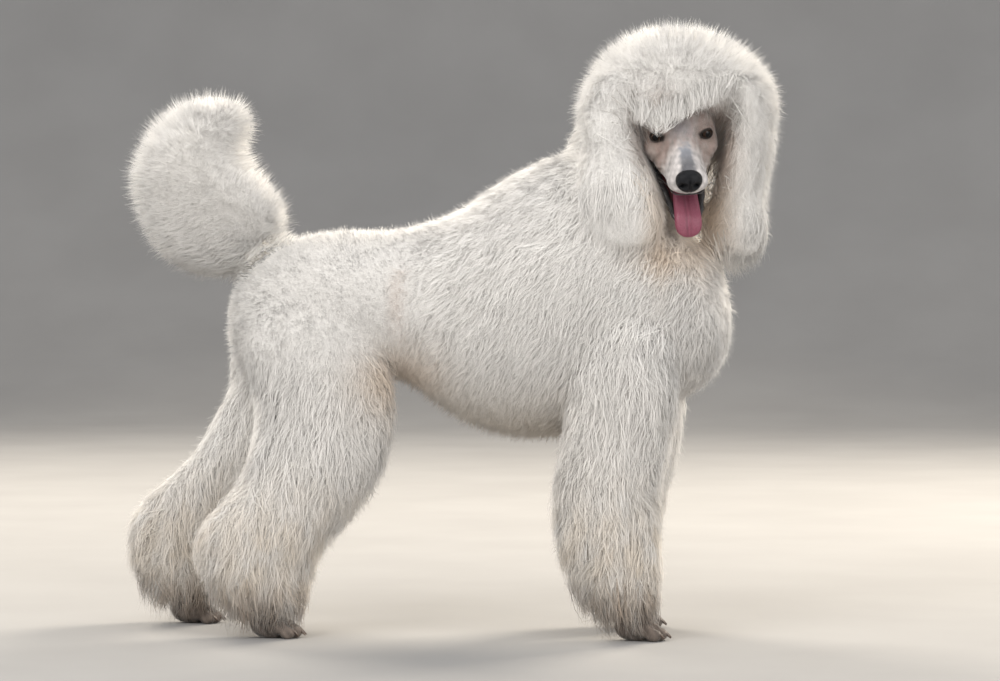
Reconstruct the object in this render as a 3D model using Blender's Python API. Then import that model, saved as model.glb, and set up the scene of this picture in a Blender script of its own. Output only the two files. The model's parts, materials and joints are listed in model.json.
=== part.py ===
"""Standard poodle, life size, standing with its head turned to its right.

Metres, +Z up. The dog faces +X and its right side is towards -Y. Every part is a stack of rings
along one axis, and its coat is a set of clumps or locks rooted in a core inside that form.
"""

import math
from collections import namedtuple

import bmesh
import bpy
import numpy as np
from mathutils import Matrix, Vector

# Clearance between nodes, and how much further a sharp corner moves to keep it.
GAP = 0.0003
GROWTH = 1.6
SWELLING = 0.015
MOST_SWELLING = 0.0015

# Each station is a place along the stack's axis, then the low and high sides across it.
# Torso, along X: height of the underside and of the back, then the right and left sides.
TORSO = (
    (-0.325, 0.438, 0.438, 0.000, 0.000),
    (-0.318, 0.392, 0.486, -0.045, 0.045),
    (-0.300, 0.362, 0.518, -0.074, 0.074),
    (-0.255, 0.345, 0.556, -0.097, 0.097),
    (-0.180, 0.345, 0.577, -0.108, 0.108),
    (-0.080, 0.358, 0.581, -0.104, 0.104),
    (0.000, 0.306, 0.603, -0.117, 0.117),
    (0.080, 0.276, 0.654, -0.131, 0.131),
    (0.170, 0.278, 0.690, -0.139, 0.139),
    (0.260, 0.300, 0.668, -0.136, 0.136),
    (0.330, 0.330, 0.604, -0.118, 0.118),
    (0.380, 0.368, 0.535, -0.084, 0.084),
    (0.397, 0.400, 0.492, -0.048, 0.048),
    (0.402, 0.446, 0.446, 0.000, 0.000),
)
# Neck, along Z: back and front sides, then right and left sides.
NECK = (
    (0.520, 0.250, 0.250, 0.000, 0.000),
    (0.540, 0.180, 0.340, -0.070, 0.070),
    (0.600, 0.150, 0.372, -0.090, 0.092),
    (0.655, 0.148, 0.372, -0.066, 0.096),
    (0.705, 0.162, 0.376, -0.042, 0.096),
    (0.760, 0.200, 0.366, -0.030, 0.080),
    (0.785, 0.280, 0.280, 0.010, 0.010),
)
# Topknot: the round cap of hair, along Z.
TOPKNOT = (
    (0.690, 0.300, 0.300, 0.010, 0.010),
    (0.697, 0.205, 0.415, -0.026, 0.080),
    (0.720, 0.176, 0.455, -0.048, 0.108),
    (0.738, 0.172, 0.466, -0.086, 0.115),
    (0.760, 0.173, 0.472, -0.112, 0.120),
    (0.795, 0.187, 0.461, -0.113, 0.116),
    (0.832, 0.213, 0.430, -0.094, 0.097),
    (0.860, 0.252, 0.386, -0.058, 0.062),
    (0.874, 0.318, 0.318, 0.000, 0.000),
)
# Tail plume, along Z: it rises from the croup and curls forward at the top.
TAIL = (
    (0.503, -0.345, -0.345, 0.000, 0.000),
    (0.512, -0.385, -0.305, -0.026, 0.026),
    (0.535, -0.424, -0.262, -0.046, 0.046),
    (0.575, -0.452, -0.232, -0.060, 0.060),
    (0.620, -0.466, -0.236, -0.069, 0.069),
    (0.655, -0.470, -0.262, -0.074, 0.074),
    (0.690, -0.459, -0.285, -0.073, 0.073),
    (0.730, -0.437, -0.277, -0.065, 0.065),
    (0.758, -0.405, -0.292, -0.047, 0.047),
    (0.775, -0.352, -0.352, 0.000, 0.000),
)
# Legs, along Z. Hind legs slope back to the hock, and the left one stands further back.
FORELEG_RIGHT = (
    (0.028, 0.262, 0.262, -0.085, -0.085),
    (0.034, 0.212, 0.304, -0.122, -0.048),
    (0.068, 0.174, 0.308, -0.139, -0.035),
    (0.108, 0.156, 0.308, -0.146, -0.029),
    (0.157, 0.147, 0.308, -0.149, -0.026),
    (0.206, 0.147, 0.311, -0.149, -0.026),
    (0.256, 0.155, 0.320, -0.149, -0.028),
    (0.310, 0.165, 0.330, -0.150, -0.032),
    (0.370, 0.175, 0.330, -0.150, -0.040),
    (0.430, 0.200, 0.320, -0.142, -0.060),
    (0.470, 0.255, 0.255, -0.100, -0.100),
)
FORELEG_LEFT = (
    (0.028, 0.250, 0.250, 0.085, 0.085),
    (0.034, 0.202, 0.290, 0.048, 0.122),
    (0.068, 0.166, 0.291, 0.035, 0.139),
    (0.108, 0.150, 0.293, 0.029, 0.146),
    (0.157, 0.145, 0.301, 0.026, 0.149),
    (0.206, 0.149, 0.313, 0.026, 0.149),
    (0.256, 0.160, 0.326, 0.028, 0.149),
    (0.310, 0.170, 0.332, 0.032, 0.150),
    (0.370, 0.178, 0.332, 0.040, 0.150),
    (0.430, 0.200, 0.320, 0.060, 0.142),
    (0.470, 0.255, 0.255, 0.100, 0.100),
)
HINDLEG_RIGHT = (
    (0.022, -0.250, -0.250, -0.092, -0.092),
    (0.030, -0.308, -0.200, -0.128, -0.056),
    (0.069, -0.347, -0.186, -0.146, -0.038),
    (0.108, -0.362, -0.173, -0.153, -0.030),
    (0.142, -0.358, -0.148, -0.153, -0.027),
    (0.177, -0.335, -0.116, -0.151, -0.024),
    (0.207, -0.308, -0.095, -0.149, -0.021),
    (0.256, -0.286, -0.077, -0.146, -0.017),
    (0.305, -0.276, -0.069, -0.143, -0.013),
    (0.360, -0.284, -0.072, -0.138, -0.010),
    (0.420, -0.298, -0.096, -0.126, -0.016),
    (0.470, -0.280, -0.130, -0.110, -0.040),
    (0.500, -0.210, -0.210, -0.080, -0.080),
)
HINDLEG_LEFT = (
    (0.022, -0.395, -0.395, 0.092, 0.092),
    (0.030, -0.437, -0.350, 0.056, 0.128),
    (0.061, -0.478, -0.336, 0.040, 0.143),
    (0.112, -0.491, -0.312, 0.030, 0.153),
    (0.158, -0.482, -0.272, 0.026, 0.153),
    (0.193, -0.452, -0.235, 0.022, 0.151),
    (0.220, -0.418, -0.208, 0.020, 0.149),
    (0.254, -0.387, -0.176, 0.017, 0.146),
    (0.295, -0.362, -0.148, 0.013, 0.143),
    (0.340, -0.338, -0.125, 0.010, 0.139),
    (0.396, -0.333, -0.108, 0.014, 0.130),
    (0.450, -0.305, -0.120, 0.030, 0.116),
    (0.500, -0.220, -0.220, 0.080, 0.080),
)
LEGS = {
    "foreleg_right": FORELEG_RIGHT,
    "foreleg_left": FORELEG_LEFT,
    "hindleg_right": HINDLEG_RIGHT,
    "hindleg_left": HINDLEG_LEFT,
}
# Hanging hair of the ears, along Z. The right ear lies over the neck, the left one hangs free.
EAR_RIGHT = (
    (0.541, 0.250, 0.250, -0.120, -0.120),
    (0.550, 0.206, 0.298, -0.140, -0.096),
    (0.580, 0.190, 0.306, -0.150, -0.080),
    (0.625, 0.182, 0.304, -0.148, -0.060),
    (0.675, 0.184, 0.296, -0.134, -0.030),
    (0.720, 0.196, 0.288, -0.112, -0.010),
    (0.745, 0.240, 0.240, -0.050, -0.050),
)
EAR_LEFT = (
    (0.528, 0.412, 0.412, -0.010, -0.010),
    (0.538, 0.378, 0.446, -0.052, 0.030),
    (0.570, 0.368, 0.455, -0.068, 0.046),
    (0.620, 0.366, 0.456, -0.070, 0.050),
    (0.670, 0.370, 0.460, -0.066, 0.048),
    (0.715, 0.382, 0.466, -0.054, 0.040),
    (0.745, 0.425, 0.425, 0.000, 0.000),
)

# Cup of each ear: the hollow between the flap's hair and the cheek.
EAR_CUPS = {"ear_right": (0.297, -0.100, 0.700), "ear_left": (0.382, -0.055, 0.696)}
EAR_CUP_HALF_SIZES = (0.012, 0.016, 0.020)

# Head frame: its origin lies midway between the eyes.
EYES_MIDWAY = (0.3290, -0.070, 0.7115)
HEAD_TURN_DEG = 10.0
HEAD_NOD_DEG = 24.5
HEAD_TILT_DEG = -4.2
EYE_FORWARD = 0.010
EYE_SPREAD = 0.0335
EYE_RADIUS = 0.0105
# Skull and upper jaw, along the face: underside and top, then right and left sides.
HEAD = (
    (-0.122, 0.000, 0.000, 0.000, 0.000),
    (-0.112, -0.030, 0.026, -0.026, 0.026),
    (-0.085, -0.050, 0.045, -0.043, 0.043),
    (-0.048, -0.058, 0.052, -0.051, 0.051),
    (-0.018, -0.056, 0.044, -0.0520, 0.0520),
    (0.004, -0.054, 0.029, -0.0495, 0.0495),
    (0.022, -0.052, 0.015, -0.0425, 0.0425),
    (0.045, -0.050, 0.005, -0.0355, 0.0355),
    (0.070, -0.050, 0.000, -0.0315, 0.0315),
    (0.090, -0.049, -0.005, -0.0290, 0.0290),
    (0.103, -0.046, -0.011, -0.0215, 0.0215),
    (0.1085, -0.030, -0.030, 0.000, 0.000),
)
# Lower jaw, along its own axis from the hinge, with the same columns.
JAW_HINGE = (-0.040, 0.0, -0.036)
JAW_OPEN_DEG = 26.0
JAW = (
    (0.012, -0.004, -0.004, 0.000, 0.000),
    (0.020, -0.014, 0.006, -0.032, 0.032),
    (0.050, -0.015, 0.006, -0.036, 0.036),
    (0.075, -0.014, 0.005, -0.029, 0.029),
    (0.105, -0.013, 0.004, -0.021, 0.021),
    (0.125, -0.010, 0.004, -0.0155, 0.0155),
    (0.134, -0.006, 0.003, -0.009, 0.009),
    (0.137, -0.001, -0.001, 0.000, 0.000),
)
# Tongue, in the lower jaw's axes: its middle line, over the chin and down, and its half widths.
TONGUE_LINE = (
    (0.050, 0.0095),
    (0.085, 0.0095),
    (0.115, 0.0085),
    (0.134, 0.0070),
    (0.147, 0.0010),
    (0.156, -0.0080),
)
TONGUE_HALF_WIDTHS = (0.013, 0.015, 0.0165, 0.0185, 0.0180, 0.0110)
TONGUE_HALF_THICKNESS = 0.0030
# Lips: the left half of each lip's line, from the corner of the mouth to its middle.
UPPER_LIP = (
    (0.008, 0.0405, -0.0520),
    (0.035, 0.0345, -0.0505),
    (0.060, 0.0310, -0.0500),
    (0.085, 0.0280, -0.0485),
    (0.0985, 0.0205, -0.0460),
    (0.1045, 0.0110, -0.0440),
    (0.1060, 0.0000, -0.0432),
)
LOWER_LIP = (
    (0.054, 0.0335, 0.0055),
    (0.080, 0.0270, 0.0045),
    (0.105, 0.0205, 0.0035),
    (0.124, 0.0145, 0.0032),
    (0.133, 0.0070, 0.0020),
    (0.1355, 0.0000, 0.0015),
)
LIP_RADIUS = 0.0027
# Lids: how far they rise over the eye's middle and drop under it, in degrees.
LID_RISES = (40.0, -36.0)
LID_RADIUS = 0.0022
LID_STANDOFF = 0.0005
LID_TURN_DEG = 14.0
LID_REACH_DEG = 72.0
LID_TAPER = (0.6, 1.0, 1.0, 1.0, 0.6)
# Nose leather, with a pit and a slit for each nostril.
NOSE_CENTRE = (0.1010, 0.0, -0.0240)
NOSE_HALF_SIZES = (0.0125, 0.0185, 0.0160)
PIT_PLACE = (0.0105, 0.0092, 0.001)
PIT_HALF_SIZES = (0.006, 0.0036, 0.0036)
SLIT_PLACE = (0.0075, 0.0142, -0.003)
SLIT_HALF_SIZES = (0.006, 0.006, 0.0014)

# Paws: where each heel and toe line stands, and the toes' sizes.
PAWS = {
    "forepaw_right": (0.268, -0.085),
    "forepaw_left": (0.254, 0.085),
    "hindpaw_right": (-0.248, -0.092),
    "hindpaw_left": (-0.392, 0.092),
}
PAW_HALF_SIZES = (0.031, 0.0235, 0.022)
TOE_SIDES = (-0.0175, -0.006, 0.006, 0.0175)
TOE_REACH = (0.020, 0.0275, 0.0275, 0.020)
TOE_HALF_SIZES = (0.0185, 0.0076, 0.0135)
# How far the pads are pressed flat by the floor.
SOLE_FLAT = 0.004
TOE_FLAT = 0.003
CLAW_RADIUS = 0.0030
# A claw's root and tip, from its toe's end and above the floor.
CLAW_ROOT = (-0.006, 0.013)
CLAW_TIP = (0.004, 0.0105)
CLAW_TAPER = 0.6

# Rings and sides of each core.
CORES = {
    "torso": (15, 14),
    "neck": (6, 10),
    "topknot": (8, 12),
    "tail": (8, 8),
    "leg": (8, 8),
    "ear": (6, 8),
}
# Coats: how deep the core lies under the tips, the stretch of the stack that carries clumps, their
# rows, then their spacing round it, length, half height and lean towards the belly, and a seed.
Coat = namedtuple("Coat", "core first last rows spacing length height lean seed")
COATS = {
    "torso": Coat(0.011, 0.42, 0.95, 4, 0.136, 0.138, 0.0120, 0.22, 3),
    "neck": Coat(0.011, 0.28, 0.80, 2, 0.135, 0.085, 0.0120, 0.0, 5),
    "topknot": Coat(0.013, 0.10, 0.99, 4, 0.114, 0.104, 0.0155, 0.0, 7),
    "tail": Coat(0.014, 0.08, 0.92, 4, 0.104, 0.092, 0.0160, 0.25, 9),
    "foreleg_right": Coat(0.010, 0.05, 0.80, 3, 0.100, 0.142, 0.0115, 0.0, 11),
    "foreleg_left": Coat(0.010, 0.05, 0.80, 3, 0.100, 0.142, 0.0115, 0.0, 13),
    "hindleg_right": Coat(0.010, 0.05, 0.72, 3, 0.102, 0.146, 0.0115, 0.0, 15),
    "hindleg_left": Coat(0.010, 0.05, 0.72, 3, 0.102, 0.146, 0.0115, 0.0, 17),
    "ear_right": Coat(0.007, 0.10, 0.90, 2, 0.066, 0.115, 0.0085, 0.10, 19),
    "ear_left": Coat(0.007, 0.10, 0.90, 2, 0.066, 0.115, 0.0085, 0.10, 21),
}
# A clump's rings, from its crest outwards: how far out, and how deep in shares of its height.
# Its crest stands towards its tip by that share, and its foot lies deep in the core.
CLUMP_RINGS = ((0.56, 0.16), (1.0, 1.15))
CLUMP_CREST = 0.25
CLUMP_TIP = -0.10
CLUMP_FOOT = 2.2
CLUMP_SPREAD = 0.52
CLUMP_SIDES = 5
# A lock from root to tip: where, how wide, how thick and how deep its middle lies.
LOCK_PLACES = (0.45, 0.0, -0.45)
LOCK_WIDTHS = (0.85, 1.0, 0.45)
LOCK_THICKNESSES = (0.8, 1.0, 0.75)
LOCK_DEPTHS = (1.5, 0.93, 0.95)
LOCK_SIDES = 5
# The hindquarters are clipped short and stay smooth: their core lies at the tips.
CLIPPED_UP_TO = 0.40

COLOURS = {
    "coat": ((0.86, 0.81, 0.73), 0.9),
    "skin": ((0.52, 0.43, 0.39), 0.7),
    "nose": ((0.02, 0.02, 0.023), 0.35),
    "eye": ((0.03, 0.015, 0.01), 0.1),
    "tongue": ((0.55, 0.16, 0.20), 0.4),
    "paw": ((0.60, 0.53, 0.48), 0.8),
}
SLOT_OF = {
    "head": "skin",
    "lower_jaw": "skin",
    "nose": "nose",
    "eye_right": "eye",
    "eye_left": "eye",
    "tongue": "tongue",
    **{name: "paw" for name in PAWS},
}


class Stack:
    """A closed form: oval rings along one axis, with a smooth curve through its stations."""

    def __init__(self, axis, stations, placed=None):
        rows = np.array(stations, float)
        self.axis = axis
        self.placed = placed or Matrix.Identity(4)
        self.rows = np.column_stack(
            (
                rows[:, 0],
                (rows[:, 1] + rows[:, 2]) / 2,
                (rows[:, 3] + rows[:, 4]) / 2,
                (rows[:, 2] - rows[:, 1]) / 2,
                (rows[:, 4] - rows[:, 3]) / 2,
            )
        )
        steps = np.linalg.norm(np.diff(self.rows, axis=0), axis=1)
        self.t = np.concatenate(([0.0], np.cumsum(steps))) / steps.sum()
        self.slopes = np.gradient(self.rows, self.t, axis=0)

    def ring(self, t):
        """Place, middle and half sizes of the ring at t, from 0 to 1, by a cubic between stations."""
        i = np.clip(np.searchsorted(self.t, t, side="right") - 1, 0, len(self.t) - 2)
        width = (self.t[i + 1] - self.t[i])[:, None]
        s = (t - self.t[i])[:, None] / width
        a, b = self.rows[i], self.rows[i + 1]
        da, db = self.slopes[i] * width, self.slopes[i + 1] * width
        return (
            a * (2 * s**3 - 3 * s**2 + 1)
            + da * (s**3 - 2 * s**2 + s)
            + b * (3 * s**2 - 2 * s**3)
            + db * (s**3 - s**2)
        )

    def points(self, t, angle, sunk=0.0):
        """Surface points, or points sunk that deep under it."""
        at, mid_a, mid_b, half_a, half_b = self.ring(np.atleast_1d(t)).T
        a = mid_a + np.maximum(half_a - sunk, 0.0005) * np.cos(angle)
        b = mid_b + np.maximum(half_b - sunk, 0.0005) * np.sin(angle)
        at = at - sunk * np.clip(2 * np.atleast_1d(t) - 1, -1, 1)
        if self.axis == "X":
            found = np.column_stack((at, b, a))
        else:
            found = np.column_stack((a, b, at))
        turn = np.array(self.placed)
        return found @ turn[:3, :3].T + turn[:3, 3]

    def holds(self, point, grow=0.0):
        """Whether a point lies inside the form grown by that much."""
        p = np.array(self.placed.inverted() @ Vector(point))
        at, a, b = (p[0], p[2], p[1]) if self.axis == "X" else (p[2], p[0], p[1])
        t = np.linspace(0.0, 1.0, 80)
        ring = self.ring(t)
        nearest = ring[np.argmin(abs(ring[:, 0] - at))]
        if abs(nearest[0] - at) > 0.01 + grow:
            return False
        half = np.maximum(nearest[3:] + grow, 0.001)
        return ((a - nearest[1]) / half[0]) ** 2 + ((b - nearest[2]) / half[1]) ** 2 < 1

    def frame(self, t, angle):
        """Point, outward normal and the direction across the stack."""
        small = 0.01
        here, ahead, behind = (
            self.points(x, angle)[0] for x in (t, min(t + small, 1), max(t - small, 0))
        )
        side = self.points(t, angle + small)[0] - self.points(t, angle - small)[0]
        normal = np.cross(side, behind - ahead)
        middle = self.points(np.array([t, t]), np.array([0.0, math.pi])).mean(axis=0)
        if normal @ (here - middle) < 0:
            normal = -normal
        return here, unit(normal), unit(side)

    def pace(self, t, angle):
        """How far the surface runs as t goes from 0 to 1, at that place."""
        small = 0.01
        ends = self.points(np.array([t - small, t + small]), np.array([angle, angle]))
        return np.linalg.norm(ends[1] - ends[0]) / (2 * small)

    def lock(self, t, angle, coat, width):
        """A flat, tapered lock that bends along the stack, its root sunk in the core."""
        length = coat.length / self.pace(t, angle)
        way = 1 if math.sin(angle) > 0 else -1
        line = []
        for place, deep in zip(LOCK_PLACES, LOCK_DEPTHS):
            turned = angle - coat.lean * place * way
            here, normal, _ = self.frame(min(max(t + place * length, 0.01), 0.99), turned)
            line.append(here - normal * coat.height * deep)
        across = self.frame(t, angle)[2]
        widths = [width * w for w in LOCK_WIDTHS]
        heights = [coat.height * h for h in LOCK_THICKNESSES]
        return swept(line, widths, heights, LOCK_SIDES, across)

    def clump(self, t, angle, coat, turn):
        """A rounded clump over a patch of the stack that turn reaches to each side of.

        Its crest stands nearest its tip, and its rim and foot lie under the core's surface.
        """
        length = min(coat.length / 2 / self.pace(t, angle), t - 0.01, 0.99 - t)
        way = 1 if math.sin(angle) > 0 else -1

        def placed(along, across, deep):
            turned = angle + across * turn - coat.lean * along * way
            here, normal, _ = self.frame(t + along * length, turned)
            return here - normal * deep * coat.height

        points = []
        for radius, deep in CLUMP_RINGS:
            for k in range(CLUMP_SIDES):
                corner = 2 * math.pi * k / CLUMP_SIDES
                along, across = radius * math.cos(corner), radius * math.sin(corner)
                points.append(placed(along - CLUMP_CREST * (1 - radius), across, deep))
        points.append(placed(-CLUMP_CREST, 0.0, CLUMP_TIP))
        points.append(placed(0.0, 0.0, CLUMP_FOOT))
        return np.array(points), tube_faces(len(CLUMP_RINGS), CLUMP_SIDES)

    def clumps(self, coat, flat=False, clear_of=()):
        """The coat's clumps in staggered rows, save where another form covers them."""
        draw = np.random.default_rng(coat.seed)
        found = []
        for row in range(coat.rows):
            t = coat.first + (coat.last - coat.first) * (row + 0.5) / coat.rows
            half_a, half_b = self.ring(np.array([t]))[0][3:]
            girth = 2 * math.pi * math.sqrt((half_a**2 + half_b**2) / 2)
            count = max(4, round(girth / coat.spacing))
            for k in range(count):
                angle = (k + 0.5 * (row % 2) + draw.uniform(-0.1, 0.1)) * 2 * math.pi / count
                at = t + draw.uniform(-0.02, 0.02)
                width = CLUMP_SPREAD * draw.uniform(0.92, 1.06) / count
                point = self.points(at, angle)[0]
                if any(other.holds(point, -coat.height) for other in clear_of):
                    continue
                if flat:
                    found.append(self.lock(at, angle, coat, width * girth))
                else:
                    found.append(self.clump(at, angle, coat, width * 2 * math.pi))
        return found

    def mesh(self, rings, sides, sunk=0.0, clipped=0.0):
        """Points and faces of the closed form, with a pole at each end.

        It lies sunk under the tips, save before clipped.
        """
        t = np.linspace(0.0, 1.0, rings + 2)[1:-1]
        angle = np.arange(sides) * 2 * math.pi / sides
        each = np.repeat(t, sides)
        grid = self.points(each, np.tile(angle, rings), np.where(each < clipped, 0.0, sunk))
        ends = np.array([0.0, 1.0])
        poles = self.points(ends, np.zeros(2), np.where(ends < clipped, 0.0, sunk))
        return np.vstack((grid, poles)), tube_faces(rings, sides)


def unit(vector):
    """The vector at length 1."""
    return vector / max(np.linalg.norm(vector), 1e-12)


def tube_faces(rings, sides):
    """Triangles between successive rings, and from the end rings to the two poles after them."""
    faces = []
    for ring in range(rings - 1):
        for k in range(sides):
            a, b = ring * sides + k, ring * sides + (k + 1) % sides
            faces += [(a, b, b + sides), (a, b + sides, a + sides)]
    first, last, top = rings * sides, rings * sides + 1, (rings - 1) * sides
    for k in range(sides):
        following = (k + 1) % sides
        faces += [(first, following, k), (last, top + k, top + following)]
    return faces


def ball(centre, half_sizes, placed=None, rings=7, sides=12):
    """An ellipsoid, as points and faces."""
    polar = np.arange(1, rings + 1) * math.pi / (rings + 1)
    angle = np.arange(sides) * 2 * math.pi / sides
    grid = np.array([(math.cos(p), math.sin(p) * math.cos(a), math.sin(p) * math.sin(a))
                     for p in polar for a in angle])
    points = np.vstack((grid, [(1, 0, 0), (-1, 0, 0)])) * half_sizes + centre
    return moved(points, placed), tube_faces(rings, sides)


def moved(points, placed):
    """Points carried by a matrix."""
    if placed is None:
        return points
    turn = np.array(placed)
    return points @ turn[:3, :3].T + turn[:3, 3]


def swept(line, half_widths, half_heights, sides, across):
    """A closed tube along a line, wide along across, as points and faces."""
    line = np.array(line, float)
    ahead = np.gradient(line, axis=0)
    angle = np.arange(sides) * 2 * math.pi / sides
    rings = []
    for point, way, w, h in zip(line, ahead, half_widths, half_heights):
        side = unit(across - unit(way) * (np.array(across) @ unit(way)))
        up = np.cross(unit(way), side)
        rings.append(point + np.outer(np.cos(angle) * w, side) + np.outer(np.sin(angle) * h, up))
    count = len(rings)
    ends = [line[0] - unit(ahead[0]) * half_heights[0], line[-1] + unit(ahead[-1]) * half_heights[-1]]
    return np.vstack(rings + [np.array(ends)]), tube_faces(count, sides)


def new_object(name, points, faces):
    """A mesh object whose faces point outwards."""
    mesh = bpy.data.meshes.new(name)
    mesh.from_pydata([tuple(p) for p in points], [], faces)
    form = bmesh.new()
    form.from_mesh(mesh)
    bmesh.ops.recalc_face_normals(form, faces=form.faces)
    form.to_mesh(mesh)
    form.free()
    obj = bpy.data.objects.new(name, mesh)
    bpy.context.scene.collection.objects.link(obj)
    return obj


def applied(obj, modifier):
    """Makes the modifier's result the object's own mesh."""
    graph = bpy.context.evaluated_depsgraph_get()
    obj.data = bpy.data.meshes.new_from_object(obj.evaluated_get(graph))
    obj.modifiers.remove(modifier)


def joined(name, pieces):
    """One object from closed pieces, by one Boolean union on a collection of them."""
    obj = new_object(name, *pieces[0])
    if len(pieces) == 1:
        return obj
    helpers = bpy.data.collections.new("pieces")
    bpy.context.scene.collection.children.link(helpers)
    for number, (points, faces) in enumerate(pieces[1:]):
        piece = new_object(f"piece_{number}", points, faces)
        bpy.context.scene.collection.objects.unlink(piece)
        helpers.objects.link(piece)
    union = obj.modifiers.new("join", "BOOLEAN")
    union.operation = "UNION"
    union.operand_type = "COLLECTION"
    union.collection = helpers
    union.solver = "MANIFOLD"
    applied(obj, union)
    for piece in list(helpers.objects):
        bpy.data.objects.remove(piece)
    bpy.data.collections.remove(helpers)
    return obj


def cut(obj, pieces):
    """Cuts the object with what the pieces fill together."""
    cutter = joined("cutter", pieces)
    difference = obj.modifiers.new("cut", "BOOLEAN")
    difference.operation = "DIFFERENCE"
    difference.object = cutter
    difference.solver = "MANIFOLD"
    applied(obj, difference)
    bpy.data.objects.remove(cutter)


def keep_largest(obj):
    """Leaves only the closed surface that holds the most."""
    form = bmesh.new()
    form.from_mesh(obj.data)
    bmesh.ops.triangulate(form, faces=form.faces)
    unseen = set(form.verts)
    shells = []
    while unseen:
        shell, edge = set(), [unseen.pop()]
        while edge:
            vert = edge.pop()
            shell.add(vert)
            for link in vert.link_edges:
                other = link.other_vert(vert)
                if other in unseen:
                    unseen.remove(other)
                    edge.append(other)
        faces = {face for vert in shell for face in vert.link_faces}
        volume = sum(
            f.verts[0].co.dot(f.verts[1].co.cross(f.verts[2].co)) / 6 for f in faces
        )
        shells.append((volume, shell))
    shells.sort(key=lambda pair: pair[0], reverse=True)
    for _, shell in shells[1:]:
        bmesh.ops.delete(form, geom=list(shell), context="VERTS")
    form.to_mesh(obj.data)
    form.free()


def reach(points):
    """Lowest and highest corner."""
    return points.min(axis=0), points.max(axis=0)


def grown(points, faces):
    """A closed piece whose faces all stand out by at least the gap."""
    corners = points[np.array(faces)]
    normals = np.cross(corners[:, 1] - corners[:, 0], corners[:, 2] - corners[:, 0])
    inside_out = (normals * corners.mean(axis=1)).sum() - (normals @ points.mean(axis=0)).sum() < 0
    normals /= np.maximum(np.linalg.norm(normals, axis=1), 1e-12)[:, None]
    out = np.zeros_like(points)
    for k in range(3):
        np.add.at(out, np.array(faces)[:, k], normals)
    out /= np.maximum(np.linalg.norm(out, axis=1), 1e-12)[:, None]
    swollen = points + out * GAP * GROWTH * (-1 if inside_out else 1)
    away = (points - points.mean(axis=0)) * SWELLING
    away *= np.minimum(1.0, MOST_SWELLING / np.linalg.norm(away, axis=1))[:, None]
    return swollen + away, faces


def near(obj, pieces):
    """The pieces whose boxes meet the object's."""
    low, high = reach(np.array([v.co for v in obj.data.vertices]))
    found = []
    for points, faces in pieces:
        a, b = reach(points)
        if (a < high).all() and (b > low).all():
            found.append((points, faces))
    return found


def head_frame():
    """Carries the head's own axes, face along X and crown along Z, to where the head is held."""
    turn = Matrix.Rotation(math.radians(HEAD_TURN_DEG - 90), 4, "Z")
    nod = Matrix.Rotation(math.radians(HEAD_NOD_DEG), 4, "Y")
    tilt = Matrix.Rotation(math.radians(-HEAD_TILT_DEG), 4, "X")
    return Matrix.Translation(EYES_MIDWAY) @ turn @ nod @ tilt


def jaw_frame():
    """Carries the lower jaw's own axes to its open place under the head."""
    drop = Matrix.Rotation(math.radians(JAW_OPEN_DEG), 4, "Y")
    return head_frame() @ Matrix.Translation(JAW_HINGE) @ drop


def eye_centre(side):
    """Centre of an eyeball. Side is -1 for the right and 1 for the left."""
    return (EYE_FORWARD, side * EYE_SPREAD, 0.0)


def lid(side, rise):
    """One lid: a rim from corner to corner over the eyeball, raised by that angle in its middle."""
    line = []
    for share in np.linspace(-1, 1, len(LID_TAPER)):
        round_eye = math.radians(LID_REACH_DEG * share + LID_TURN_DEG * side)
        up = math.radians(rise) * math.cos(share * math.pi / 2)
        way = (math.cos(up) * math.cos(round_eye), math.cos(up) * math.sin(round_eye), math.sin(up))
        line.append(np.array(eye_centre(side)) + (EYE_RADIUS + LID_STANDOFF) * np.array(way))
    radii = [LID_RADIUS * taper for taper in LID_TAPER]
    points, faces = swept(line, radii, radii, 4, (0.0, 0.0, 1.0))
    return moved(points, head_frame()), faces


def lip(half_line, radius, placed):
    """A lip's roll from one corner of the mouth to the other, from the left half of its line."""
    left = np.array(half_line)
    line = np.vstack((left, left[-2::-1] * (1, -1, 1)))
    radii = [radius] * len(line)
    points, faces = swept(line, radii, radii, 4, (0.0, 0.0, 1.0))
    return moved(points, placed), faces


def head_pieces():
    """Skull and upper jaw with lids and the upper lip."""
    pieces = [Stack("X", HEAD, head_frame()).mesh(14, 12)]
    pieces += [lid(side, rise) for side in (-1, 1) for rise in LID_RISES]
    return pieces + [lip(UPPER_LIP, LIP_RADIUS, head_frame())]


def jaw_pieces():
    """Lower jaw with its lip."""
    jaw = Stack("X", JAW, jaw_frame()).mesh(10, 12)
    return [jaw, lip(LOWER_LIP, LIP_RADIUS, jaw_frame())]


def nostrils():
    """What is cut from the nose: two pits and their slits."""
    pieces = []
    for side in (-1, 1):
        for place, half_sizes in ((PIT_PLACE, PIT_HALF_SIZES), (SLIT_PLACE, SLIT_HALF_SIZES)):
            centre = np.array(NOSE_CENTRE) + np.array(place) * (1, side, 1)
            pieces.append(ball(centre, half_sizes, head_frame(), 3, 6))
    return pieces


def ear_cup(name):
    """The hollow of an ear's cup, open to the front between the flap's hair and the cheek."""
    return [ball(EAR_CUPS[name], EAR_CUP_HALF_SIZES, None, 6, 10)]


def tongue_pieces():
    """The tongue, a flat strip that bends over the chin."""
    line = [(x, 0.0, z) for x, z in TONGUE_LINE]
    heights = [TONGUE_HALF_THICKNESS] * len(line)
    points, faces = swept(line, TONGUE_HALF_WIDTHS, heights, 10, (0.0, 1.0, 0.0))
    return [(moved(points, jaw_frame()), faces)]


def nose_pieces():
    """The nose leather."""
    return [ball(NOSE_CENTRE, NOSE_HALF_SIZES, head_frame(), 5, 10)]


def eye_pieces(side):
    """One eyeball."""
    return [ball(eye_centre(side), [EYE_RADIUS] * 3, head_frame(), 7, 12)]


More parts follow.
